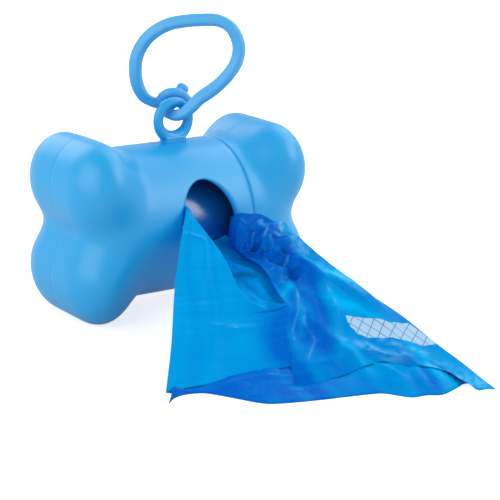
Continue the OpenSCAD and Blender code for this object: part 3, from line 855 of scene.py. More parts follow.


# %% Folds drawn as (height, half width, points seen from above)
RIDGE_LINE = [(8.4, -30), (10.7, -35), (11.6, -40.9), (12, -47.7), (12, -53), (11.2, -60.6),
              (8.6, -72.4), (6.1, -79.8)]
SWELL_LINES = [
    (0.9, 2.0, RIDGE_LINE),
    (-1.3, 3.0, [(9.4, -44), (8, -53), (2.2, -66.3), (-1.5, -74.4), (-3, -80)]),
    (-1.6, 2.4, [(8.6, -27), (8.2, -34.6), (5, -38), (2.9, -41)]),
    (1.0, 2.0, [(10.3, -37), (7.6, -45), (4.5, -51), (2.2, -56.8)]),
    (0.8, 1.8, [(4.5, -60), (-1, -68), (-6.2, -72.4), (-9.5, -79)]),
    (0.9, 2.0, [(1, -68), (-2.4, -72.5), (-3.6, -79.3), (-10, -83.8)]),
    (-1.0, 2.2, [(6.5, -66), (4.7, -73.4), (1.2, -79), (-3.6, -83.4)]),
    (-0.8, 2.6, [(8, -76), (6.1, -79.8), (2, -85), (-2.1, -89.4)]),
    (0.6, 1.8, [(7.9, -84), (7.7, -88.8), (9.6, -94.3), (11.8, -98.3)]),
    (0.7, 1.8, [(13, -92), (14.2, -95.4), (16.6, -100.2), (21, -103.6)]),
    (0.5, 1.5, [(14, -62.2), (14.6, -69.8), (16.3, -79.9)]),
    (-0.5, 1.6, [(12.6, -58), (12.6, -66), (13, -74)])]
MOUND_SIZE = np.array([85.0, 14.0])
MOUND_FOLDS = [
    (1.2, 1.7, [(0.16, 0.4), (0.19, 0.33), (0.21, 0.3), (0.235, 0.27), (0.24, 0.16), (0.25, 0.0)]),
    (-1.3, 1.6, [(0.23, 0.45), (0.255, 0.31), (0.265, 0.19), (0.285, 0.02)]),
    (1.1, 1.5, [(0.26, 0.42), (0.28, 0.29), (0.29, 0.18), (0.31, 0.0)]),
    (0.9, 1.6, [(0.33, 0.44), (0.335, 0.3), (0.35, 0.12), (0.36, 0.0)]),
    (-1.0, 1.6, [(0.37, 0.42), (0.39, 0.25), (0.41, 0.0)]),
    (1.0, 1.6, [(0.41, 0.4), (0.44, 0.22), (0.47, 0.0)]),
    (-1.2, 1.8, [(0.46, 0.32), (0.5, 0.14), (0.535, 0.0)]),
    (1.2, 1.5, [(0.49, 0.3), (0.53, 0.13), (0.56, 0.03)])]
FLAP_LINES = [(0.22, 1.2, [(-25, -58.5), (-23.1, -59.7), (-15.5, -64.1), (-12, -66)]),
              (0.2, 0.9, [(-21, -61.5), (-15.7, -64.6)]),
              (-0.16, 1.6, [(-31, -47.5), (-27.9, -49), (-20.2, -52.1), (-15, -54)]),
              (0.3, 1.2, [(-14.4, -29.2), (-13.2, -30), (-10.4, -32.9), (-9.8, -35)]),
              (-0.25, 3.0, [(-9.5, -44), (-12, -54), (-13.5, -64), (-18, -75)])]
LOWER_LINES = [(1.1, 1.6, [(14.5, -100), (13, -105), (11.7, -108.9)]),
               (-0.9, 2.2, [(17, -100), (16, -106), (15.2, -111.2)]),
               (0.8, 1.8, [(3, -86), (6.3, -90), (9, -97), (10, -104)]),
               (0.9, 2.0, [(-34, -77), (-22.5, -80), (-15.9, -84), (-8, -88)]),
               (1.2, 2.2, [(-2, -40), (-3.6, -46.3), (-3, -53), (2, -57.3)]),
               (-1.0, 2.0, [(3, -38), (4.9, -43.4), (2.6, -53.2)])]
hand_drawn = len(SWELL_LINES) + len(MOUND_FOLDS) + len(FLAP_LINES) + len(LOWER_LINES)
print("folds drawn by hand:", hand_drawn)

# %% The crumpled panels
FLAP_BULGE = 0.6
down, across = shares(flap)
flap = flap + (FLAP_BULGE * np.sin(np.pi * down) * np.sin(np.pi * across))[..., None] * FILM_UP
flap = crumple(flap, 0.2 + 0 * down, 0.07 + 0.05 * down,
               calm(across, 0.12, 0.1) * np.clip(down * 6, 0, 1), FLAP_LINES)
down, across = shares(swell)
swell = crumple(swell, 1.0 + 0.8 * bump(down, 0.35, 0.2),
                0.5 + 0.7 * bump(across, 0.5, 0.25) * bump(down, 0.45, 0.3),
                calm(across, 0.1, 0.12) * np.clip(down * 4, 0, 1), SWELL_LINES)
swell = fold_mound(swell, MOUND_FOLDS)
down, across = shares(lower)
lower = crumple(lower, 0.6 + 0 * down, 0.7 + 0 * down,
                calm(across, 0.11, 0.11) * calm(down, 0.2, 0.06), LOWER_LINES)
film_top = max(swell[..., 2].max(), flap[..., 2].max())
print(f"highest point of the film: {film_top:.1f} mm from the barrel's axis")

# %% The lower layer settles under the upper one
LAYER_GAP = 0.35
HEM_REACH = 16
EDGE_COLUMNS = 6
LIFT_SMOOTH = 5


def cover_heights(grid, panels):
    """Height of the panels over each point of a grid, or nan where none lies over it"""
    spots, faces = [], []
    for panel in panels:
        faces += grid_faces(*panel.shape[:2], start=sum(len(s) for s in spots))
        spots.append(panel.reshape(-1, 3))
    cover = BVHTree.FromPolygons(np.concatenate(spots).tolist(), faces)
    heights = np.full(grid.shape[:2], np.nan)
    for i, j in np.ndindex(heights.shape):
        below = Vector((grid[i, j, 0], grid[i, j, 1], 2 * TABLE))
        hit = cover.ray_cast(below, Vector((0, 0, 1)))[0]
        if hit is not None:
            heights[i, j] = hit.z
    return heights


def layer_under(grid, panels, gap):
    """Press a panel under the panels above it, and lift it where it leaves their hem, so that no
    dark slit opens there"""
    rows, columns = grid.shape[:2]
    from_edge = np.minimum(np.arange(columns), np.arange(columns)[::-1])
    top = cover_heights(grid, panels) - gap * np.clip(from_edge / EDGE_COLUMNS, 0, 1)
    height = np.where(np.isnan(top), grid[..., 2], np.minimum(grid[..., 2], top))
    hem, lift = np.full(columns, rows - 1.0), np.zeros(columns)
    half = rows // 2
    for j in range(2, columns - 2):
        under = np.nonzero(~np.isnan(top[half:, j]))[0]
        if len(under) and half + under[-1] < rows - 3:
            last = half + under[-1]
            hem[j], lift[j] = last, max(top[last, j] - height[last, j], 0)
    smooth = np.ones(LIFT_SMOOTH) / LIFT_SMOOTH
    hem, lift = np.convolve(hem, smooth, "same"), np.convolve(lift, smooth, "same")
    step = np.arange(rows)[:, None]
    inside = np.clip(1 - (hem - step) / HEM_REACH, 0, 1)
    outside = np.clip(1 - (step - hem) / np.maximum(rows - 1 - hem, 1), 0, 1)
    height = height + lift * np.where(step <= hem, inside, outside)
    height = np.where(np.isnan(top), height, np.minimum(height, top))
    out = grid.copy()
    out[:, 1:-1, 2] = np.maximum(height, TABLE)[:, 1:-1]
    return out


lower = layer_under(lower, (flap, swell), LAYER_GAP)
print(f"lower layer: {lower[..., 2].min() - TABLE:.2f} to {lower[..., 2].max() - TABLE:.2f} mm up")

# %% [markdown]
# ## Where the film is deep, pale or bare
#
# Film is clear enough that its colour depends on how many layers lie over each other: single film
# is a light blue, and the gathered part beside the pocket a deep one. Shades along listed lines
# make it deeper or lighter than that. Much of this is painted light and painted shade: painted
# light on the swell right of its ridge, on the lower layer in the pocket and under the swell's
# hem, where the upper layer's shadow falls; painted shade along the pocket's edge, in a fold of
# the lower layer and where the lower layer shows in front of the upper hem; and bands of both
# across the swell. Sharp folds and a few streaks turn pale as painted highlights. All this follows
# the mesh, so it's written on its points as attributes that the material reads, and so is the
# distance to the edge of a bare patch near the right edge, where a fine net shows.

# %% Marks on the film's points
BARE_PATCH = [(8.8, -76.7), (12.5, -80.7), (17.6, -85.8), (23.4, -87.2), (26.4, -96.6),
              (21.3, -95.1), (15.2, -90.1), (9.3, -86.3), (7.9, -83.5), (7.7, -80.7)]
# Shades as (amount, half width, points seen from above), positive deeper: the flap gets darker
# towards its crease
FLAP_SHADES = [(0.9, 8.0, [(4, -54), (-2, -62), (-4, -65.5), (-8, -71), (-12.5, -79)]),
               (0.7, 12.0, [(-2, -62), (-5, -67), (-9, -73), (-13, -80), (-22, -92)])]
# Painted light in two bands across the swell, and painted shade in a third
SWELL_SHADES = [(-1.0, 2.6, [(5, -57.4), (3.7, -58.4), (1.1, -59.6), (-1.5, -60.5), (-3, -61)]),
                (-0.6, 1.6, [(2.4, -62.5), (1.7, -65.1), (-0.4, -68.9), (-3.7, -73), (-5, -76)]),
                (0.4, 2.6, [(8.5, -62), (7.6, -65), (5.1, -69.3), (-0.1, -77.4), (-4, -84)])]
# Painted shade along the pocket's edge and in a fold of the lower layer, and painted light under
# the swell's hem, where its shadow falls
LOWER_SHADES = [(1.7, 3.4, [(6.4, -18), (6.2, -26), (6, -34), (6.2, -42), (6, -46)]),
                (1.6, 3.0, [(5, -43), (4.6, -48.4), (3.4, -53), (2, -57)]),
                (0.7, 1.4, [(-1.5, -34.5), (0.4, -35.8), (2.1, -39.6), (4, -43.7)]),
                (0.8, 2.5, LOWER_LINES[1][2]), (-0.6, 8.0, [(x, y) for x, y, z in SWELL_HEM[2:]])]
# Streaks of painted highlight on the swell, as (amount, half width, points seen from above)
SWELL_STREAKS = [(0.9, 1.3, [(9.6, -33), (11.5, -41.5), (12.0, -46), (12.6, -49), (13.6, -54)]),
                 (0.6, 1.6, [(13.4, -54.2), (14, -59.8), (15, -67.1), (16.5, -76)]),
                 (0.7, 1.8, [(3, -82), (7, -88), (11, -93), (17, -98)]),
                 (0.6, 1.4, [(11, -87), (15, -92.5), (20, -97.5), (24, -100)]),
                 (0.8, 4.5, [(18, -100), (25, -109), (36, -124)])]
RIDGE_SHARE = ([0, 0.2, 0.33, 0.4, 0.48, 0.55, 0.61, 1],
               [0.8, 0.66, 0.5, 0.44, 0.38, 0.35, 0.32, 0.3])
GATHERED_DEPTH = ([0, 0.55, 0.95], [1.1, 0.9, 0.65])
# Painted light on the swell right of its ridge
LIT_RIGHT, LIT_SPAN = 0.45, ([0.25, 0.35, 0.6, 0.75], [0, 1, 1, 0])
LOW_FROM, LOW_DEPTH = 0.66, 0.7
# Painted light on the lower layer in the pocket, under the upper layer's shadow
POCKET_DEPTH = -0.5
# Painted shade where the lower layer shows in front of the upper hem, between the layers
FRONT_DEPTH = ([0, 0.15, 0.3, 0.5, 0.7, 1], [0.9, 1.0, 1.0, 0.7, 0.3, 0.2])
# LINE_PALE and FOLD_PALE paint highlights on the crests of listed folds
MARK_TURN, LINE_PALE, FOLD_PALE, CREST_SHARE = 2.2, 0.7, 0.6, 0.3
NOT_BARE = -9.0


def inside_patch(spots, outline):
    """Distance in millimetres inside an outline seen from above, negative outside"""
    corner = np.asarray(outline, float)
    inside, nearest = np.zeros(len(spots), bool), np.full(len(spots), np.inf)
    for a, b in zip(corner, np.roll(corner, -1, axis=0)):
        t = np.clip((spots - a) @ (b - a) / ((b - a) @ (b - a)), 0, 1)
        nearest = np.minimum(nearest, np.linalg.norm(spots - a - t[:, None] * (b - a), axis=1))
        crosses = (a[1] > spots[:, 1]) != (b[1] > spots[:, 1])
        side = (b[0] - a[0]) * (spots[:, 1] - a[1]) / (b[1] - a[1] + TINY) + a[0]
        inside ^= crosses & (spots[:, 0] < side)
    return np.where(inside, nearest, -nearest)


def flap_depth(down, across):
    """The flap is lit evenly all over"""
    return 0.05 + 0 * down * across


def swell_depth(down, across):
    """The swell is deep left of its ridge, where the film is gathered, has painted light right of
    it, and is evenly deep below
    """
    ridge = np.interp(down, *RIDGE_SHARE)
    depth = np.clip((ridge - across) / 0.08 + 0.5, 0, 1) * np.interp(down, *GATHERED_DEPTH)
    depth -= LIT_RIGHT * np.clip((across - ridge) * 6, 0, 1) * np.interp(down, *LIT_SPAN)
    below = LOW_DEPTH + (depth - LOW_DEPTH) * np.clip(across / 0.05, 0, 1)
    return np.where(down > LOW_FROM, below, depth)


def lower_depth(down, across):
    """The lower layer: painted light inside the pocket, painted shade in front of the upper hem"""
    front = np.clip((down - 0.6) * 5, 0, 1)
    return (1 - front) * POCKET_DEPTH + front * np.interp(across, *FRONT_DEPTH)


def panel_marks(panel, depth, uneven, lines, shades, streaks=(), folds=(), patch=None):
    """How deep each point of a panel is, with painted light and shade, how pale, as painted
    highlights, and how far inside the bare patch it lies
    """
    down, across = (share.ravel() for share in shares(panel))
    spots = panel.reshape(-1, 3)[:, :2]
    away = spots - PULL_FROM
    drawn = ridged(np.arctan2(away[:, 0], -away[:, 1]) * MARK_TURN, np.hypot(*away.T), 5.1)
    deep = depth(down, across)
    deep = deep + sum(more * near_line(spots, route, width) for more, width, route in shades)
    flat = np.stack([down, across], axis=-1) * MOUND_SIZE
    crest = sum(LINE_PALE * near_line(spots, route, CREST_SHARE * width)
                for high, width, route in lines if high > 0)
    crest = crest + sum(
        FOLD_PALE * near_line(flat, np.array(route) * MOUND_SIZE, CREST_SHARE * width)
        for high, width, route in folds if high > 0)
    # Fold crests and streaks turn pale as painted highlights
    pale = crest * np.clip(drawn * 0.7 + 0.3, 0, 1)
    pale = pale + sum(much * near_line(spots, route, width) for much, width, route in streaks)
    bare = inside_patch(spots, patch) if patch else np.full(len(spots), NOT_BARE)
    return np.clip(deep - uneven * (drawn - 0.5), -0.7, 1), np.clip(pale, 0, 1), bare


panel_sets = [panel_marks(flap, flap_depth, 0.12, FLAP_LINES, FLAP_SHADES),
              panel_marks(swell, swell_depth, 0.5, SWELL_LINES, SWELL_SHADES, SWELL_STREAKS,
                          MOUND_FOLDS, BARE_PATCH),
              panel_marks(lower, lower_depth, 0.25, LOWER_LINES, LOWER_SHADES)]
marks = {label: np.concatenate(values)
         for label, values in zip(("deep", "pale", "bare"), zip(*panel_sets))}
for label, values in marks.items():
    print(f"mark {label}: mean {np.mean(values):.2f} over {len(values)} points")

# %% The bag as one piece of film with a real thickness
FILM_THICK, FILM_MERGE = 0.06, 0.01


def film_piece():
    """The three panels, joined along their shared edges and given their thickness"""
    points, faces, start = [], [], 0
    for panel in (flap, swell, lower):
        rows, columns = panel.shape[:2]
        quads = grid_faces(rows, columns, start)
        faces += quads if panel is not lower else [quad[::-1] for quad in quads]
        points.append(panel.reshape(-1, 3))
        start += rows * columns
    bag = make_piece("drawn_bag_film", np.concatenate(points), faces, merge=FILM_MERGE,
                     outward=False, marks=marks)
    thick = bag.modifiers.new("thickness", "SOLIDIFY")
    thick.thickness, thick.offset = FILM_THICK * MM, 0
    area = sum(polygon.area for polygon in bag.data.polygons)
    return bake_modifiers(bag), area


bag, film_area = film_piece()
print(f"film: {triangles(bag)} triangles, {film_area * 1e4:.1f} square centimetres in both layers")

# %% [markdown]
# ## Shared effects of the finishes
#
# The finishes share two effects, each written once as a shader node group. Moulded skin gives the
# slow tint drift and the fine grain that a spark-eroded mould leaves in soft plastic. Film crinkle
# gives the small sharp creases of handled film. A group only hands out colours, values and
# normals, so that each material keeps its own Principled shader with its plain numbers where they
# can be read.

# %% Helpers for shaders
FLOAT, COLOUR, VECTOR = "NodeSocketFloat", "NodeSocketColor", "NodeSocketVector"


def shader_group(name, inputs, outputs):
    """A shader node group, what it is given and what it results in. Sockets are given as (name,
    socket type, default) and (name, socket type)"""
    tree = bpy.data.node_groups.new(name, "ShaderNodeTree")
    for label, kind, value in inputs:
        tree.interface.new_socket(label, in_out="INPUT", socket_type=kind).default_value = value
    for label, kind in outputs:
        tree.interface.new_socket(label, in_out="OUTPUT", socket_type=kind)
    given, result = tree.nodes.new("NodeGroupInput"), tree.nodes.new("NodeGroupOutput")
    return tree, given.outputs, result.inputs


def calc(tree, operation, *values):
    """The output of a math node. Each value is a number or another output"""
    node = add_node(tree, "ShaderNodeMath", {"operation": operation})
    for socket, value in zip(node.inputs, values):
        plug(tree, socket, value)
    return node.outputs[0]


def mixed(tree, share, first, second):
    """A colour between two colours, each a colour or an output"""
    node = add_node(tree, "ShaderNodeMix", {"data_type": "RGBA"}, Factor=share)
    for socket, value in ((node.inputs[6], first), (node.inputs[7], second)):
        plug(tree, socket, (*value, 1) if isinstance(value, tuple) else value)
    return node.outputs[2]


def ramp(tree, value, *stops):
    """A colour ramp with stops given as (position, grey or colour)"""
    node = add_node(tree, "ShaderNodeValToRGB", Fac=value)
    elements = node.color_ramp.elements
    while len(elements) < len(stops):
        elements.new(0.5)
    for element, (place, tone) in zip(elements, stops):
        element.position = place
        element.color = (tone, tone, tone, 1) if isinstance(tone, (int, float)) else (*tone, 1)
    return node.outputs["Color"]


def noise_at(tree, spot, scale, detail, output="Fac", **more):
    """Noise of a scale given per metre, with so many finer layers"""
    node = add_node(tree, "ShaderNodeTexNoise", Vector=spot, Scale=scale, Detail=detail, **more)
    return node.outputs[output]


def object_spot(tree):
    """Where a point lies on its object"""
    return add_node(tree, "ShaderNodeTexCoord").outputs["Object"]


def mark(tree, label):
    """A mark that was written on the mesh's points"""
    return add_node(tree, "ShaderNodeAttribute", {"attribute_name": label}).outputs["Fac"]


def raised(tree, height, distance):
    """The normal of a relief"""
    node = add_node(tree, "ShaderNodeBump", Height=height, Distance=distance, Strength=1.0)
    return node.outputs["Normal"]


# %% Moulded skin
DRIFT_SCALE, SCUFF_SCALE, GRAIN_SCALE = 28.0, 240.0, 2600.0
SCUFF_ROUGHNESS = 0.05


def moulded_skin_group():
    """Tint drift, grain and faint scuffs of soft moulded plastic"""
    tree, given, result = shader_group(
        "moulded_skin",
        [("Colour", COLOUR, (0, 0, 1, 1)), ("Drift colour", COLOUR, (0, 0, 1, 1)),
         ("Roughness", FLOAT, 0.4), ("Grain depth", FLOAT, 0.02)],
        [("Colour", COLOUR), ("Roughness", FLOAT), ("Normal", VECTOR)])
    spot = object_spot(tree)
    drift = ramp(tree, noise_at(tree, spot, DRIFT_SCALE, 3.0), (0.35, 0.0), (0.7, 0.75))
    plug(tree, result["Colour"], mixed(tree, drift, given["Colour"], given["Drift colour"]))
    scuff = ramp(tree, noise_at(tree, spot, SCUFF_SCALE, 5.0, Distortion=1.2),
                 (0.45, 0.0), (0.75, 1.0))
    plug(tree, result["Roughness"],
         calc(tree, "MULTIPLY_ADD", scuff, SCUFF_ROUGHNESS, given["Roughness"]))
    depth = calc(tree, "MULTIPLY", given["Grain depth"], MM)
    plug(tree, result["Normal"], raised(tree, noise_at(tree, spot, GRAIN_SCALE, 2.0), depth))
    return tree


# %% Film crinkle
WARP_SCALE, WAVE_SCALE = 120.0, 170.0
CREASE_BEND = 0.006
SHARP_SHARE = 0.45


def film_crinkle_group():
    """Small sharp creases of handled film, as a normal"""
    tree, given, result = shader_group(
        "film_crinkle",
        [("Size", FLOAT, 3.0), ("Depth", FLOAT, 0.1), ("Coordinate", VECTOR, (0, 0, 0))],
        [("Normal", VECTOR)])
    spot = given["Coordinate"]
    bent = add_node(tree, "ShaderNodeVectorMath", {"operation": "MULTIPLY_ADD"})
    warp = noise_at(tree, spot, WARP_SCALE, 3.0, output="Color")
    for socket, value in zip(bent.inputs, (warp, (CREASE_BEND,) * 3, spot)):
        plug(tree, socket, value)
    bent = bent.outputs[0]
    creases = add_node(tree, "ShaderNodeTexVoronoi", {"feature": "DISTANCE_TO_EDGE"}, Vector=bent,
                       Scale=calc(tree, "DIVIDE", 1 / MM, given["Size"]), Randomness=1.0)
    sharp = ramp(tree, creases.outputs["Distance"], (0.0, 0.0), (0.22, 0.7), (0.6, 1.0))
    waves = noise_at(tree, bent, WAVE_SCALE, 4.0, Roughness=0.55)
    height = calc(tree, "MULTIPLY_ADD", sharp, SHARP_SHARE, waves)
    plug(tree, result["Normal"], raised(tree, height, calc(tree, "MULTIPLY", given["Depth"], MM)))
    return tree


moulded_skin, film_crinkle = moulded_skin_group(), film_crinkle_group()
print("shared effects:", moulded_skin.name, "and", film_crinkle.name)

# %% [markdown]
# ## Finishes
#
# The bone and the strap are soft plastic, coloured through, with a satin skin. The bag is thin
# glossy polythene: it looks light where it lies single and deep where it's gathered, and its
# folds carry painted highlights. Real transparency would need many light bounces and would show
# grain, so the film is opaque here, its colour follows the marks on its points, which also hold
# painted light and painted shade, and a faint glow stands for the light that comes through. Fine
# streaks run across it, the way such film is drawn. The core is plain grey-brown board. All of it
# comes from noise in object coordinates, so no finish needs a picture.

# %% Finishes


def start_material(name):
    """A node material and its Principled shader"""
    material = bpy.data.materials.get(name) or bpy.data.materials.new(name)
    material.use_nodes = True
    return material, material.node_tree, material.node_tree.nodes["Principled BSDF"].inputs


def moulded_plastic(name, colour, drift, roughness, grain):
    """Satin moulded plastic with its tint drift and grain"""
    material, tree, shader = start_material(name)
    skin = add_node(tree, "ShaderNodeGroup", {"node_tree": moulded_skin}, Colour=(*colour, 1),
                    Drift_colour=(*drift, 1), Roughness=roughness, Grain_depth=grain)
    plug(tree, shader["Base Color"], skin.outputs["Colour"])
    for label in ("Roughness", "Normal"):
        plug(tree, shader[label], skin.outputs[label])
    shader["IOR"].default_value = 1.56
    return material


def thin_film(name, colour, roughness, size, depth, ior, gathered=0.0):
    """Glossy polythene film with small creases, deeper by gathered where its deep mark is 1"""
    material, tree, shader = start_material(name)
    if gathered:
        depth = calc(tree, "MULTIPLY_ADD", mark(tree, "deep"), gathered, depth)
    crinkle = add_node(tree, "ShaderNodeGroup", {"node_tree": film_crinkle}, Size=size, Depth=depth,
                       Coordinate=object_spot(tree))
    plug(tree, shader["Normal"], crinkle.outputs["Normal"])
    shader["Base Color"].default_value = (*colour, 1)
    shader["Roughness"].default_value = roughness
    shader["IOR"].default_value = ior
    return material


# %% The bag's film
NET = ((31, 2.9), (-72, 2.4))
STREAK_TURN = math.radians(-24)
STREAK_SIZE = (0.022, 0.0017, 0.0017)
BLOTCH_SCALE, BROKEN_SCALE = 90.0, 420.0
BLOTCHES, STREAKS = 0.3, 0.44
DEPTH_SPREAD, DEPTH_START = 0.5, 0.24
# Strength of the glow, painted light for the light through single film
GLOW = 0.23
RAGGED_EDGE = 0.8


def net_lines(tree, spot):
    """1 on the threads of a fine net: two families of slanting lines, given as (turn, spacing)"""
    families = []
    for turn, spacing in NET:
        turned = add_node(tree, "ShaderNodeMapping", Vector=spot,
                          Rotation=(0, 0, math.radians(90 - turn)), Scale=(1 / spacing / MM,) * 3)
        across = add_node(tree, "ShaderNodeSeparateXYZ", Vector=turned.outputs[0]).outputs["X"]
        families.append(calc(tree, "PINGPONG", across, 0.5))
    return ramp(tree, calc(tree, "MINIMUM", *families), (0.03, 1.0), (0.055, 0.0))


def layered_film_with_painted_light(name, lit, light, deep, painted_highlight_colour, bare, thread, through):
    """Film whose colour follows its marks: deep where layers gather and where shade is painted, lit
    where light is painted, pale on folds as painted highlights, bare in a patch. A faint glow
    stands for the light through single film"""
    material = thin_film(name, light, roughness=0.17, size=3.2, depth=0.015, ior=1.08, gathered=0.2)
    tree = material.node_tree
    spot = object_spot(tree)
    drawn_out = add_node(tree, "ShaderNodeMapping", {"vector_type": "TEXTURE"}, Vector=spot,
                         Rotation=(0, 0, STREAK_TURN), Scale=STREAK_SIZE).outputs[0]
    layers = mark(tree, "deep")
    for pattern, amount in ((noise_at(tree, spot, BLOTCH_SCALE, 5.0), BLOTCHES),
                            (noise_at(tree, drawn_out, 1.0, 3.0), STREAKS)):
        layers = calc(tree, "MULTIPLY_ADD", pattern, amount, layers)
    layers = calc(tree, "MULTIPLY_ADD", layers, DEPTH_SPREAD, DEPTH_START)
    # The lit colour is painted light, and the deep colour also paints shade
    colour = ramp(tree, layers, (0.1, lit), (0.42, light), (0.95, deep))
    broken = noise_at(tree, spot, BROKEN_SCALE, 4.0)
    # Pale marks mix in the painted highlight colour on fold crests and streaks
    painted_highlight = calc(tree, "MULTIPLY", mark(tree, "pale"), ramp(tree, broken, (0.4, 0.1), (0.6, 0.9)))
    colour = mixed(tree, painted_highlight, colour, painted_highlight_colour)
    ragged = calc(tree, "MULTIPLY_ADD", broken, RAGGED_EDGE, mark(tree, "bare"))
    patch = mixed(tree, net_lines(tree, spot), bare, thread)
    colour = mixed(tree, ramp(tree, ragged, (0.38, 0.0), (0.45, 1.0)), colour, patch)
    shader = tree.nodes["Principled BSDF"].inputs
    plug(tree, shader["Base Color"], colour)
    # The glow is painted light, strongest where the film lies single and lit
    plug(tree, shader["Emission Color"], ramp(tree, layers, (0.1, through), (0.36, 0.0)))
    shader["Emission Strength"].default_value = GLOW
    return material


# %% Cardboard, and every piece gets its finish
FIBRE_SCALE, FIBRE_HEIGHT = 900.0, 0.00006


def cardboard(name):
    """Grey-brown board with raised fibres"""
    material, tree, shader = start_material(name)
    fibres = noise_at(tree, object_spot(tree), FIBRE_SCALE, 6.0)
    plug(tree, shader["Base Color"],
         ramp(tree, fibres, (0.3, (0.20, 0.14, 0.085)), (0.7, (0.40, 0.30, 0.19))))
    plug(tree, shader["Normal"], raised(tree, fibres, FIBRE_HEIGHT))
    shader["Roughness"].default_value = 0.9
    return material


def dress(obj, material):
    """Give an object one material"""
    obj.data.materials.clear()
    obj.data.materials.append(material)


casing_blue = moulded_plastic("casing_blue", (0.003, 0.34, 0.725), (0.005, 0.365, 0.755),
                              roughness=0.36, grain=0.006)
clip_blue = moulded_plastic("clip_blue", (0.05, 0.385, 0.77), (0.08, 0.42, 0.80),
                            roughness=0.45, grain=0.004)
# lit is painted light, deep also paints shade, and the painted highlight colour goes on fold crests
# and streaks
bag_blue = layered_film_with_painted_light("bag_film", lit=(0.0, 0.46, 0.88), light=(0.0, 0.295, 0.68),
                        deep=(0.0, 0.115, 0.54), painted_highlight_colour=(0.16, 0.56, 0.94),
                        bare=(0.36, 0.56, 0.78), thread=(0.12, 0.24, 0.40),
                        through=(0.0, 0.22, 0.95))
roll_blue = thin_film("roll_film", (0.004, 0.15, 0.50), roughness=0.27, size=9.0, depth=0.2,
                      ior=1.85)
board = cardboard("cardboard")
collar = frame["nodes"]["cap_collar"]
for obj in (front_shell_piece, back_shell, *cap_shells.values(), eyelet, collar):
    dress(obj, casing_blue)
dress(strap, clip_blue)
dress(bag, bag_blue)
dress(roll, roll_blue)
dress(frame["nodes"]["roll_core"], board)
print("finishes:", [made.name for made in (casing_blue, clip_blue, bag_blue, roll_blue, board)])

# %% [markdown]
# ## Table and light
#
# The object stands on a plain white table in an even white room. Soft plastic shows its form by
# what it mirrors as much as by shading, so four large soft boxes stand round it: one in front on
# the right draws the pale top of the barrel, one high on the right lights the swell of film, one
# on the left the pale sides of the knuckles, and one behind the light rims. The room is dim
# overhead, which leaves the film, facing up, in its deep colour.

# %% Table
TABLE_SHADE, SEEN_SHADE = 0.7, 0.5
TABLE_GLOW, MIRRORED_LIFT = 0.76, 0.25
FLOOR_HALF = 4


def seen_directly(tree):
    """1 for what the camera sees straight, and 1 for what shows mirrored or through glass"""
    path = add_node(tree, "ShaderNodeLightPath").outputs
    mirrored = calc(tree, "MAXIMUM", path["Is Glossy Ray"], path["Is Transmission Ray"])
    return path["Is Camera Ray"], mirrored


def table_finish():
    """Matt white, lifted where it's seen, so that the object's shadow stays soft and light"""
    material = bpy.data.materials.new("table")
    material.use_nodes = True
    tree = material.node_tree
    tree.nodes.clear()
    camera_ray, mirrored = seen_directly(tree)
    seen = calc(tree, "MAXIMUM", camera_ray, calc(tree, "MULTIPLY", mirrored, MIRRORED_LIFT))
    matt = add_node(tree, "ShaderNodeBsdfDiffuse",
                    Color=calc(tree, "MULTIPLY_ADD", seen, SEEN_SHADE - TABLE_SHADE, TABLE_SHADE))
    glow = add_node(tree, "ShaderNodeEmission", Color=(1, 1, 1, 1),
                    Strength=calc(tree, "MULTIPLY", seen, TABLE_GLOW))
    both = add_node(tree, "ShaderNodeAddShader")
    for socket, light in zip(both.inputs, (matt, glow)):
        plug(tree, socket, light.outputs[0])
    add_node(tree, "ShaderNodeOutputMaterial", Surface=both.outputs[0])
    return material


floor_mesh = bpy.data.meshes.new("floor")
floor_corners = [(x * FLOOR_HALF, y * FLOOR_HALF, 0)
                 for x, y in ((-1, -1), (1, -1), (1, 1), (-1, 1))]
floor_mesh.from_pydata(floor_corners, [], [(0, 1, 2, 3)])
floor = bpy.data.objects.new("floor", floor_mesh)
bpy.context.scene.collection.objects.link(floor)
dress(floor, table_finish())
print("table: a square of", 2 * FLOOR_HALF, "metres")

# %% Room and lamps


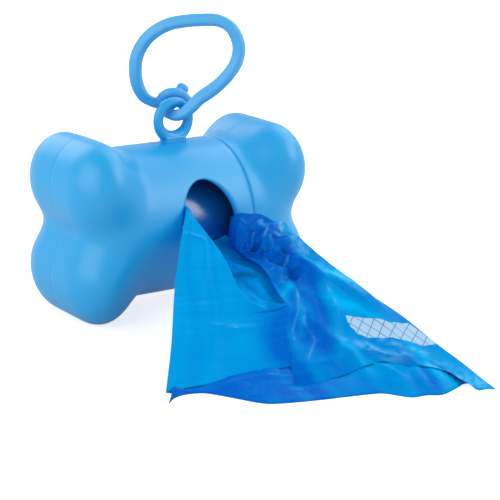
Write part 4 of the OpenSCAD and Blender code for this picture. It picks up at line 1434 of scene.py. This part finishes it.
def make_room():
    """White to the camera, white near the horizon to gloss, a gentle gradient to everything else"""
    world = bpy.data.worlds.new("studio")
    bpy.context.scene.world = world
    world.use_nodes = True
    tree = world.node_tree
    direction = add_node(tree, "ShaderNodeTexCoord").outputs["Generated"]
    height = add_node(tree, "ShaderNodeSeparateXYZ", Vector=direction).outputs["Z"]
    light = ramp(tree, height, (0.0, 0.52), (0.5, 0.48), (1.0, 0.4))
    band = ramp(tree, height, (0.06, 1.0), (0.3, 0.35), (0.9, 0.0))
    camera_ray, mirrored = seen_directly(tree)
    white = calc(tree, "MAXIMUM", camera_ray, calc(tree, "MULTIPLY", mirrored, band))
    background = tree.nodes["Background"].inputs
    plug(tree, background["Color"], mixed(tree, white, light, (1, 1, 1)))
    background["Strength"].default_value = 1.0


def soft_lamp(name, place, aim, size, radiance):
    """A square soft box, as bright as its radiance says"""
    lamp = bpy.data.objects.new(name, bpy.data.lights.new(name, "AREA"))
    lamp.data.energy, lamp.data.size = radiance * math.pi * size ** 2, size
    lamp.location = place
    lamp.rotation_euler = (Vector(aim) - Vector(place)).to_track_quat("-Z", "Y").to_euler()
    bpy.context.scene.collection.objects.link(lamp)
    return lamp


make_room()
lamps = [
    soft_lamp("front_box", (0.56, -0.56, 0.56), (0, -0.02, 0.03), size=0.58, radiance=3.4),
    soft_lamp("right_box", (0.6, 0.12, 0.7), (0, 0, 0.03), size=0.8, radiance=1.7),
    soft_lamp("left_box", (-0.9, -0.1, 0.5), (0, 0, 0.03), size=1.0, radiance=2.0),
    soft_lamp("back_box", (-0.1, 0.85, 0.6), (0, 0, 0.03), size=0.75, radiance=2.0)]
bpy.context.scene.view_settings.view_transform = "Standard"
print("lamps, watts:", {lamp.name: round(lamp.data.energy, 2) for lamp in lamps})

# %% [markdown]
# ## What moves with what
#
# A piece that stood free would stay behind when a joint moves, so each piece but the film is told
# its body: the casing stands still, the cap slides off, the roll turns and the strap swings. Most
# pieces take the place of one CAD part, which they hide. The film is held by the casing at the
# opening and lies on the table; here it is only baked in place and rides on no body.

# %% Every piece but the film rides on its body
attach(front_shell_piece, "casing")
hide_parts("casing_front")
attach(back_shell, "casing")
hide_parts("casing_back")
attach(eyelet, "casing")
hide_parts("eyelet")
for side, shell in cap_shells.items():
    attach(shell, "cap")
    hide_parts(f"cap_{side}")
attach(strap, "clip")
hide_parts("clip_loop")
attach(roll, "roll")
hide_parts("bag_roll")
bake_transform(bag)
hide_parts("drawn_bag")
shown = (front_shell_piece, back_shell, eyelet, *cap_shells.values(), strap, roll, bag)
print(len(shown), "finer pieces,", sum(triangles(piece) for piece in shown), "triangles in all")
